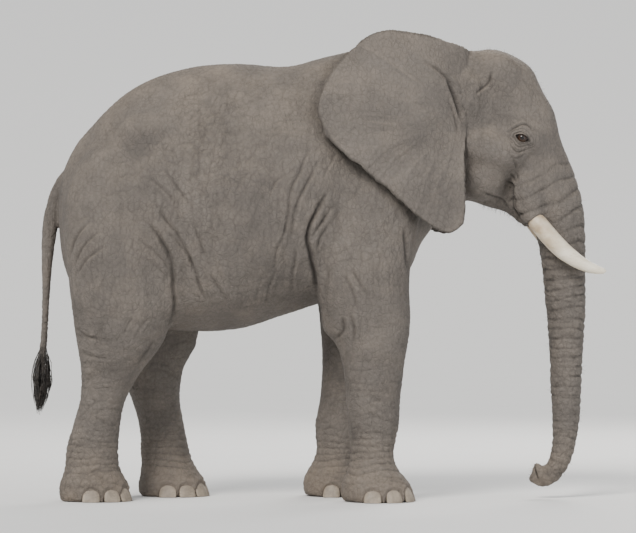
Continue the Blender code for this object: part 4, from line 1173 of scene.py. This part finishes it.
def pack_charts(boxes):
    """Places rectangles of the given sizes in rows, and gives their corners and the scale."""
    order = sorted(boxes, key=lambda key: -boxes[key][1])
    area = sum((w + CHART_MARGIN) * (h + CHART_MARGIN) for w, h in boxes.values())
    width = math.sqrt(area) * 1.15
    while True:
        corners, x, y, row = {}, 0.0, 0.0, 0.0
        for key in order:
            w, h = boxes[key]
            if x + w + CHART_MARGIN > width and x > 0:
                x, y, row = 0.0, y + row, 0.0
            corners[key] = (x, y)
            x += w + CHART_MARGIN
            row = max(row, h + CHART_MARGIN)
        if y + row <= width:
            return corners, 1 / width
        width *= 1.03


def unwrap_skin(skin, on_ear):
    """Gives the skin its map, and returns what finds the place of a hair's patch on it."""
    mesh = skin.data
    centres = values(mesh.polygons, "center", width=3)
    totals = values(mesh.polygons, "loop_total", int)
    starts = values(mesh.polygons, "loop_start", int)
    loops = values(mesh.loops, "vertex_index", int)
    first = loops[starts]
    facing = smooth_normals(mesh, normals_of(skin))[first]
    axis, chart = chart_faces(mesh, totals, facing, centres, on_ear[first])
    loop_axis = np.repeat(axis, totals)
    loop_chart = np.repeat(chart, totals)
    where = points_of(skin)[loops]
    flat = np.stack([np.where(loop_axis == 0, where[:, 1], where[:, 0]),
                     np.where(loop_axis == 2, where[:, 1], where[:, 2])], axis=1)
    boxes, lows = {}, {}
    for key in np.unique(loop_chart):
        inside = flat[loop_chart == key]
        lows[key] = inside.min(axis=0)
        boxes[key] = inside.max(axis=0) - lows[key]
    corners, scale = pack_charts(boxes)
    uv = np.empty(flat.shape)
    for key, corner in corners.items():
        inside = loop_chart == key
        uv[inside] = (flat[inside] - lows[key] + corner + CHART_MARGIN / 2) * scale
    add_map(mesh, uv)
    face_uv, tree = uv[starts], tree_of(skin)
    return lambda point: face_uv[tree.find_nearest(point)[2]]


# ---- hair --------------------------------------------------------------------------------
def make_hairs(name, strands, sides, map_place):
    """Joins tapering strands, each a list of (point, radius), into one mesh with its map."""
    verts, faces, uvs = [], [], []
    for strand in strands:
        middles = [Vector(p) for p, _ in strand]
        start = len(verts)
        for ring in tube_rings(middles, [r for _, r in strand], sides):
            verts.extend(ring)
        home = map_place(middles[0])
        last = len(strand) - 1
        for i in range(last):
            for j in range(sides):
                k = (j + 1) % sides
                a, b = start + i * sides, start + (i + 1) * sides
                faces.append((a + j, a + k, b + k, b + j))
                for s, t in ((j, i), (j + 1, i), (j + 1, i + 1), (j, i + 1)):
                    uvs.append(home + np.array((s / sides, t / last)) * HAIR_PATCH)
        faces.append(tuple(start + j for j in reversed(range(sides))))
        uvs.extend([home] * sides)
        faces.append(tuple(start + last * sides + j for j in range(sides)))
        uvs.extend([home + (0, HAIR_PATCH)] * sides)
    mesh = bpy.data.meshes.new(name)
    mesh.from_pydata(verts, [], faces)
    add_map(mesh, uvs)
    return add_object(name, mesh)


def tail_strands(rng):
    """Long coarse hairs from the tail's end, that spread and hang to a ragged point."""
    strands = []
    for i in range(TAIL_HAIRS):
        start_z = rng.uniform(*TAIL_ROOTS)
        t = (TAIL_ROOTS[1] - start_z) / TAIL_ROOT_LENGTH
        turn = rng.uniform(0, 2 * math.pi)
        out = Vector((math.cos(turn), math.sin(turn), 0))
        root = Vector((TAIL_ROOT_X - TAIL_ROOT_LEAN * t, 0, start_z))
        root += out * (TAIL_ROOT_RADIUS - TAIL_ROOT_TAPER * t)
        spread = rng.uniform(0.12, 1.0) ** 0.75
        end_z = rng.uniform(*TAIL_HAIR_ENDS) + TAIL_HAIR_RISE * spread ** 2 * rng.random()
        end_z = min(end_z, start_z - TAIL_HAIR_SHORTEST)
        bend = rng.uniform(-TAIL_HAIR_BEND, TAIL_HAIR_BEND)
        strand = []
        for k in range(TAIL_HAIR_STEPS + 1):
            share = k / TAIL_HAIR_STEPS
            z = start_z + (end_z - start_z) * share
            belly = np.interp(z, *TUFT_RADII)
            point = Vector((np.interp(z, *TUFT_MIDDLES), 0, z)) + out * belly * spread
            point = root.lerp(point, min(1, share * 3))
            sway = TAIL_HAIR_SWAY * math.sin(3.1 * share + i) + bend * share ** 2
            point += Vector((sway, sway * 0.6, 0))
            strand.append((point, TAIL_HAIR_RADIUS * (1 - 0.85 * share ** 2) + TAIL_HAIR_TIP))
        strands.append(strand)
    return strands


def lash_strands(side):
    """A row of lashes along the upper lid, bent down at their ends."""
    strands = []
    outer = EYE_RADIUS + LID_THICKNESS
    for i in range(LASHES):
        s = (i + 0.5) / LASHES * 2 - 1
        u = s * LID_HALF_LENGTH * LASH_SPAN
        round_share = (1 - (u / LID_HALF_LENGTH) ** 2) ** UPPER_LID_ROUND
        v = LID_HALF_HEIGHT * UPPER_LID_SHARE * round_share + 0.002
        dx = u * math.cos(LID_TILT) - v * math.sin(LID_TILT)
        dz = u * math.sin(LID_TILT) + v * math.cos(LID_TILT)
        depth = EYE[1] + math.sqrt(max(outer**2 - u * u - v * v, 0)) - 0.001
        root = Vector((EYE[0] + dx, side * depth, EYE[2] + dz))
        length = LASH_LENGTH + LASH_UNEVEN * math.sin(i * 2.4)
        strands.append([
            (root + Vector((0.25 * s, side * (0.95 - 0.35 * t), -0.15 - 0.75 * t)) * length * t,
             LASH_RADIUS * (1 - HAIR_TAPER * t))
            for t in (k / LASH_STEPS for k in range(LASH_STEPS + 1))
        ])
    return strands


def bristle_strands(skin, rng):
    """Sparse stiff hairs on the crown, the chin and the trunk."""
    points, normals = points_of(skin), normals_of(skin)
    chin = zone(points, "chin") & (normals[:, 2] < 0.2)
    weight = zone(points, "crown") * 0.8 + chin * 3.0 + zone(points, "hairy trunk") * 0.25
    strands = []
    for i in rng.choice(len(points), BRISTLES, replace=False, p=weight / weight.sum()):
        root, out = Vector(points[i]), Vector(normals[i])
        length = rng.uniform(*BRISTLE_LENGTHS)
        lean = Vector((rng.uniform(-0.5, 0.5), rng.uniform(-0.4, 0.4), rng.uniform(-0.9, 0.0)))
        strands.append([
            (root - out * BRISTLE_SINK + (out * t + lean * 0.5 * t * t) * length,
             BRISTLE_RADIUS * (1 - HAIR_TAPER * t))
            for t in (k / BRISTLE_STEPS for k in range(BRISTLE_STEPS + 1))
        ])
    return strands


# ---- materials ---------------------------------------------------------------------------
class Tree:
    """Builds the nodes of a material or of the world, from a texture coordinate."""

    def __init__(self, owner, coordinate="Object"):
        owner.use_nodes = True
        self.owner = owner
        self.nodes = owner.node_tree.nodes
        self.links = owner.node_tree.links
        self.place = self.add("TexCoord", coordinate)

    def put(self, socket, value):
        if hasattr(value, "is_output"):
            self.links.new(value, socket)
        else:
            socket.default_value = value

    def add(self, kind, output, inputs=None, **settings):
        """Adds a node, sets or links its inputs, and gives one of its outputs."""
        node = self.nodes.new("ShaderNode" + kind)
        for key, value in settings.items():
            setattr(node, key, value)
        for key, value in (inputs or {}).items():
            self.put(node.inputs[key], value)
        return node.outputs[output]

    def stretched(self, stretch):
        if not stretch:
            return self.place
        return self.add("Mapping", "Vector", {"Vector": self.place, "Scale": stretch})

    def noise(self, scale, detail=4.0, rough=0.5, stretch=None, distortion=0.0):
        return self.add("TexNoise", "Fac", {
            "Vector": self.stretched(stretch), "Scale": scale, "Detail": detail,
            "Roughness": rough, "Distortion": distortion,
        })

    def voronoi(self, scale, warp, stretch=None):
        """Distance to the edges of cells, whose edges are warped."""
        place = self.stretched(stretch)
        wobble = self.add("TexNoise", "Color", {"Vector": place, "Scale": scale * 0.6})
        place = self.add("VectorMath", "Vector", {0: wobble, 1: (warp, warp, warp), 2: place},
                         operation="MULTIPLY_ADD")
        return self.add("TexVoronoi", "Distance", {"Vector": place, "Scale": scale},
                        feature="DISTANCE_TO_EDGE")

    def axis(self, name, vector=None):
        return self.add("SeparateXYZ", name, {0: vector or self.place})

    def math(self, operation, a, b, clamp=False):
        return self.add("Math", "Value", {0: a, 1: b}, operation=operation, use_clamp=clamp)

    def times(self, a, b):
        return self.math("MULTIPLY", a, b)

    def span(self, value, low, high, to_low=0.0, to_high=1.0):
        return self.add("MapRange", "Result", {
            "Value": value, "From Min": low, "From Max": high,
            "To Min": to_low, "To Max": to_high,
        })

    def mix(self, colour, *layers):
        """Lays colours over the first one. Each layer is a share and a colour."""
        for share, over in layers:
            under, over = (c if hasattr(c, "is_output") else (*c, 1.0) for c in (colour, over))
            colour = self.add("Mix", "Result", {"Factor": share, "A": under, "B": over},
                              data_type="RGBA")
        return colour

    def bump(self, height, distance, strength, normal=None):
        inputs = {"Distance": distance, "Strength": strength, "Height": height}
        if normal:
            inputs["Normal"] = normal
        return self.add("Bump", "Normal", inputs)

    def finish(self, **inputs):
        """Sets or links inputs of the shader, and gives the material."""
        for key, value in inputs.items():
            socket = self.nodes["Principled BSDF"].inputs[key.replace("_", " ")]
            self.put(socket, value)
        return self.owner


def hide_material():
    t = Tree(bpy.data.materials.new("skin_hide"))
    grain = t.noise(60.0, 4.0, 0.65)
    up = t.span(t.axis("Z", t.add("NewGeometry", "Normal")), 0.1, 0.9)
    dust = t.times(up, t.span(t.noise(5.0), 0.30, 0.65, 0.15, 0.75))
    mud = t.times(t.span(t.axis("Z"), 0.42, 0.0), t.span(t.noise(9.0), 0.3, 0.7, 0.2, 0.8))
    fine = t.voronoi(85.0, 0.010)
    middle = t.voronoi(38.0, 0.022, (1.0, 1.0, 0.7))
    lines = t.math("MAXIMUM", t.span(fine, 0.0, 0.10, 0.55, 0.0),
                   t.span(middle, 0.0, 0.09, 0.9, 0.0))
    broken = t.span(t.noise(6.0, 3.0, 0.6), 0.35, 0.65, 0.10, 0.46)
    # The crease attribute holds painted shade of the creases, nostrils, lids and the ears' rims.
    painted_crease_shade = t.math("MULTIPLY", t.add("Attribute", "Fac", attribute_name="crease"), 0.85, True)
    colour = t.mix(
        (0.112, 0.098, 0.087),
        (t.span(t.noise(2.2, 3.0), 0.35, 0.65), (0.150, 0.131, 0.115)),
        (t.span(t.noise(7.0, 4.0, 0.6), 0.45, 0.72, 0.0, 0.55), (0.190, 0.160, 0.134)),
        (t.span(grain, 0.35, 0.75, 0.0, 0.30), (0.080, 0.071, 0.064)),
        (dust, (0.255, 0.210, 0.166)),
        (mud, (0.205, 0.163, 0.125)),
        (t.times(lines, broken), (0.046, 0.040, 0.035)),
        # painted shade in the creases
        (painted_crease_shade, (0.030, 0.026, 0.023)),
    )
    normal = t.bump(t.span(middle, 0.0, 0.16), 0.0022, 0.9)
    normal = t.bump(t.span(fine, 0.0, 0.18), 0.0012, 0.9, normal)
    return t.finish(Base_Color=colour, Roughness=t.span(grain, 0.3, 0.7, 0.70, 0.92),
                    Specular_IOR_Level=0.30, Normal=t.bump(grain, 0.0015, 0.7, normal))


def ivory_material():
    t = Tree(bpy.data.materials.new("tusk_ivory"))
    grain = t.noise(14.0, 5.0, 0.6, (0.35, 1.6, 1.6), 0.4)
    splits = t.noise(46.0, 3.0, 0.7, (0.18, 1.5, 1.5), 1.2)
    root = t.span(t.axis("X"), 1.46, 1.29)
    colour = t.mix(
        (0.640, 0.560, 0.420),
        (t.span(grain, 0.35, 0.7), (0.800, 0.745, 0.620)),
        (t.span(splits, 0.60, 0.74, 0.0, 0.65), (0.300, 0.215, 0.130)),
        (t.times(root, t.span(t.noise(18.0), 0.25, 0.65, 0.35, 1.0)), (0.360, 0.260, 0.160)),
    )
    return t.finish(Base_Color=colour, Roughness=t.span(grain, 0.3, 0.7, 0.30, 0.52),
                    Normal=t.bump(splits, 0.0012, 0.7))


def nail_material():
    t = Tree(bpy.data.materials.new("nail_horn"))
    rows = t.noise(30.0, 4.0, 0.6, (1.0, 1.0, 0.35))
    bands = t.noise(55.0, 3.0, 0.6, (0.5, 0.5, 2.2))
    colour = t.mix(
        (0.190, 0.155, 0.118),
        (t.span(rows, 0.3, 0.7), (0.320, 0.268, 0.208)),
        (t.span(bands, 0.55, 0.75, 0.0, 0.6), (0.140, 0.112, 0.085)),
        (t.span(t.noise(16.0, 4.0, 0.65), 0.45, 0.70, 0.0, 0.7), (0.150, 0.122, 0.095)),
    )
    return t.finish(Base_Color=colour, Roughness=t.span(bands, 0.3, 0.7, 0.45, 0.72),
                    Normal=t.bump(bands, 0.0012, 0.6, t.bump(rows, 0.002, 0.8)))


def hair_material():
    t = Tree(bpy.data.materials.new("hair_black"))
    tone = t.noise(35.0, 3.0)
    colour = t.mix((0.016, 0.014, 0.013), (t.span(tone, 0.35, 0.7), (0.050, 0.041, 0.034)))
    return t.finish(Base_Color=colour, Roughness=t.span(tone, 0.3, 0.7, 0.38, 0.58))


def eye_material():
    """Dark brown iris with a round pupil, its front towards the eye's own side."""
    t = Tree(bpy.data.materials.new("eye_ball"))
    flat = t.add("CombineXYZ", "Vector", {
        "X": t.math("SUBTRACT", t.axis("X"), EYE[0]),
        "Z": t.math("SUBTRACT", t.axis("Z"), EYE[2]),
    })
    away = t.add("VectorMath", "Value", {0: flat}, operation="LENGTH")
    fibre = t.noise(160.0, 4.0, 0.7, (1.0, 0.1, 1.0))
    iris = t.mix((0.012, 0.006, 0.003), (t.span(fibre, 0.3, 0.7), (0.050, 0.022, 0.009)))
    colour = t.mix(
        (0.003, 0.002, 0.002),
        (t.span(away, 0.0100, 0.0120), iris),
        (t.span(away, 0.0240, 0.0275), (0.010, 0.006, 0.005)),
        (t.span(away, 0.0295, 0.0330), (0.050, 0.032, 0.026)),
    )
    return t.finish(Base_Color=colour, Roughness=t.span(fibre, 0.0, 1.0, 0.04, 0.10),
                    Specular_IOR_Level=0.40)


def floor_material():
    t = Tree(bpy.data.materials.new("floor_pale"))
    tone = t.noise(1.5, 3.0)
    return t.finish(Base_Color=t.mix((0.80, 0.79, 0.77), (tone, (0.84, 0.83, 0.81))),
                    Roughness=t.span(tone, 0.0, 1.0, 0.70, 0.85),
                    Normal=t.bump(t.noise(120.0, 3.0), 0.0006, 0.3))


# ---- pieces ------------------------------------------------------------------------------
def nail_places():
    """The name, middle, facing and height of each nail."""
    for foot, (leg, turns) in FEET.items():
        rear, _, front, _, half_width, middle = leg[FOOT_SECTION]
        centre = Vector(((rear + front) / 2, middle, 0))
        for i, degrees in enumerate(turns, start=1):
            turn = -math.radians(degrees)
            out = Vector(((front - rear) / 2 * math.cos(turn), half_width * math.sin(turn), 0))
            facing = Vector((math.cos(turn) / (front - rear), math.sin(turn) / (2 * half_width), 0))
            facing.normalize()
            tall = NAIL_HEIGHT * (1 + NAIL_GROWTH * max(0.0, facing.x) ** 2)
            yield f"{foot}_nail_{i}", centre + out - NAIL_SINK * facing, facing, tall


def make_nail(name, middle, facing, tall):
    """A domed plate, broad at the floor and round at the top."""
    mesh = bmesh.new()
    turn = facing.to_track_quat("X", "Z").to_matrix().to_4x4()
    lean = Matrix.Rotation(math.radians(-NAIL_LEAN), 4, "Y")
    place = Matrix.Translation(middle + Vector((0, 0, NAIL_LIFT + tall * NAIL_MIDDLE)))
    bmesh.ops.create_uvsphere(mesh, u_segments=40, v_segments=28, radius=1)
    for vertex in mesh.verts:
        x, y, z = vertex.co
        y *= 1 + NAIL_FLARE * max(0.0, -z)
        vertex.co = Vector((x * NAIL_DEPTH, y * NAIL_HALF_WIDTH, z * tall * NAIL_RISE))
    mesh.transform(place @ turn @ lean)
    for vertex in mesh.verts:
        vertex.co.z = max(vertex.co.z, NAIL_LIFT)
    return object_from(mesh, name)


def nail_groove(points):
    """A shallow step of the skin round each nail."""
    height = np.zeros(len(points))
    low = np.flatnonzero(zone(points, "feet"))
    near = points[low]
    for _, middle, facing, tall in nail_places():
        offset = near - np.array(middle)
        across = offset[:, 0] * -facing.y + offset[:, 1] * facing.x
        forward = offset[:, 0] * facing.x + offset[:, 1] * facing.y
        up = (near[:, 2] - tall * NAIL_MIDDLE) / (tall * NAIL_RISE)
        ring = np.hypot(across / NAIL_HALF_WIDTH, up)
        rim, groove = 0.006 * bell(ring - 1.30, 0.20), 0.004 * bell(ring - 1.02, 0.10)
        bed = 0.004 * (1 - ramp(ring, 0.8, 1.0))
        height[low] += (np.abs(forward) < NAIL_REACH) * (rim - groove - bed)
    return height


def make_eye(side, name):
    """An eyeball with the cornea's bulge on its outer side."""
    mesh = bmesh.new()
    bmesh.ops.create_uvsphere(mesh, u_segments=64, v_segments=48, radius=EYE_RADIUS)
    mesh.transform(Matrix.Rotation(math.radians(-90 * side), 4, "X"))
    for vertex in mesh.verts:
        forward = vertex.co.y * side / EYE_RADIUS
        bulge = max(0.0, (forward - CORNEA_EDGE) / (1 - CORNEA_EDGE)) ** 0.8
        vertex.co.y += side * CORNEA_BULGE * bulge
    mesh.transform(Matrix.Translation((EYE[0], side * EYE[1], EYE[2])))
    return object_from(mesh, name)


def make_skin():
    """The whole hide with its relief, and which of its points are on the ears."""
    flesh = make_flesh()
    tail = make_tail()
    ears = [make_ear(side) for side in (-1, 1)]
    ear_trees = [tree_of(ear) for ear in ears]
    join(flesh, [tail, *ears, *(make_sheath(side) for side in (-1, 1))])
    remesh(flesh, SKIN_VOXEL, SKIN_ROUNDS)
    eyes = [(EYE[0], side * EYE[1], EYE[2]) for side in (-1, 1)]
    for eye_reach, tip_reach in FINE_REACHES:
        refine(flesh, [*((eye, eye_reach) for eye in eyes), (TRUNK_TIP, tip_reach)])
    points, normals = points_of(flesh), normals_of(flesh)
    on_ear = np.zeros(len(points), bool)
    for tree, side in zip(ear_trees, (-1, 1)):
        for i in np.flatnonzero(zone(points, "ears") & (points[:, 1] * side > 0)):
            _, _, _, away = tree.find_nearest(Vector(points[i]))
            on_ear[i] = away is not None and away < EAR_SKIN
    height, crease = relief(points, normals, on_ear)
    height += on_ear * ear_relief(points, normals[:, 1] * np.sign(points[:, 1]) > 0)
    height += nail_groove(points)
    eye_away = np.min([distance(points, eye) for eye in eyes], axis=0)
    calm = ramp(eye_away, *EYE_CALM_REACH) * EYE_CALM + 0.1
    moved = points + normals * (height * calm)[:, None]
    for place, direction, radius, depth in NOSTRILS:
        pit = bell(distance(points, place), radius)
        moved += np.array(direction) * (depth * pit)[:, None]
        # painted shade inside the nostrils
        crease = np.maximum(crease, pit)
    moved[:, 2] = np.maximum(moved[:, 2], 0.0)
    moved, lid_shade = shape_lids(moved)
    flesh.data.vertices.foreach_set("co", moved.ravel())
    flesh.data.update()
    # Painted shade of the creases, nostrils, lids and the ears' rims, kept in the crease attribute that
    # darkens the hide's colour.
    crease = np.clip(crease * calm + rim_shade(points, normals, on_ear) + lid_shade, 0, 1)
    layer = flesh.data.attributes.new("crease", "FLOAT", "POINT")
    layer.data.foreach_set("value", crease.astype(np.float32))
    return flesh, on_ear


# ---- studio ------------------------------------------------------------------------------
def aim(obj, place, target):
    obj.location = place
    obj.rotation_euler = (Vector(target) - obj.location).to_track_quat("-Z", "Y").to_euler()


def add_light(name, kind, place, target, **settings):
    data = bpy.data.lights.new(name, kind)
    for key, value in settings.items():
        setattr(data, key, value)
    aim(add_object(name, data), place, target)


def make_studio():
    mesh = bmesh.new()
    bmesh.ops.create_grid(mesh, x_segments=1, y_segments=1, size=FLOOR_HALF)
    floor = object_from(mesh, "floor")
    floor.data.materials.append(floor_material())
    add_light("key", "SUN", (-4.5, -10.0, 10.0), (0, 0, 1.3), energy=3.5,
              angle=math.radians(22), color=(1.0, 0.975, 0.94))
    add_light("fill", "AREA", (9.0, -7.0, 3.0), (0, 0, 1.2), shape="DISK", size=6.0,
              energy=300, color=(0.93, 0.96, 1.0))
    add_light("back", "AREA", (3.0, 8.0, 6.5), (0, 0, 1.4), shape="DISK", size=5.0,
              energy=500, color=(1.0, 0.98, 0.95))
    t = Tree(bpy.data.worlds.new("studio"), "Generated")
    sky = t.mix((1.04, 1.03, 1.01), (t.span(t.axis("Z"), 0.0, 0.35), (0.60, 0.62, 0.64)))
    t.put(t.nodes["Background"].inputs["Color"], sky)
    bpy.context.scene.world = t.owner
    camera = add_object("camera", bpy.data.cameras.new("camera"))
    camera.data.lens = 240
    camera.data.sensor_width = 36
    aim(camera, (0, -25, 1.5), (0, 0, 1.368))
    bpy.context.scene.camera = camera


def main():
    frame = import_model()
    nodes = sorted(frame["nodes"])
    skin, on_ear = make_skin()
    skin.data.shade_smooth()
    skin.data.materials.append(hide_material())
    map_place = unwrap_skin(skin, on_ear)
    flesh_nodes = [n for n in nodes
                   if not any(word in n for word in ("nail", "tusk", "eye", "tuft"))]
    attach(skin, "root")
    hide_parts(*flesh_nodes)
    ivory, horn, hair, eyeball = ivory_material(), nail_material(), hair_material(), eye_material()
    rng = np.random.default_rng(7)
    pieces = []
    for side, word in ((-1, "right"), (1, "left")):
        tusk = make_tube(f"{word}_tusk_ivory", *tusk_path(side, TUSK_STEPS), TUSK_SIDES)
        pieces.append((tusk, ivory, "ivory", f"{word}_tusk"))
        pieces.append((make_eye(side, f"{word}_eye_ball"), eyeball, "eye", f"{word}_eye"))
        lashes = make_hairs(f"{word}_lashes", lash_strands(side), HAIR_SIDES, map_place)
        pieces.append((lashes, hair, "hair", None))
    for name, middle, facing, tall in nail_places():
        nail = make_nail(name + "_horn", middle, facing, tall)
        pieces.append((nail, horn, "nail", name))
    bristles = make_hairs("head_bristles", bristle_strands(skin, rng), HAIR_SIDES, map_place)
    pieces.append((bristles, hair, "hair", None))
    tuft = make_hairs("tail_hairs", tail_strands(rng), TAIL_HAIR_SIDES, map_place)
    pieces.append((tuft, hair, "hair", "tail_tuft"))
    for piece, material, slot, node in pieces:
        piece.data.shade_smooth()
        piece.data.materials.append(material)
        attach(piece, "root")
        if node:
            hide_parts(node)
    make_studio()


main()
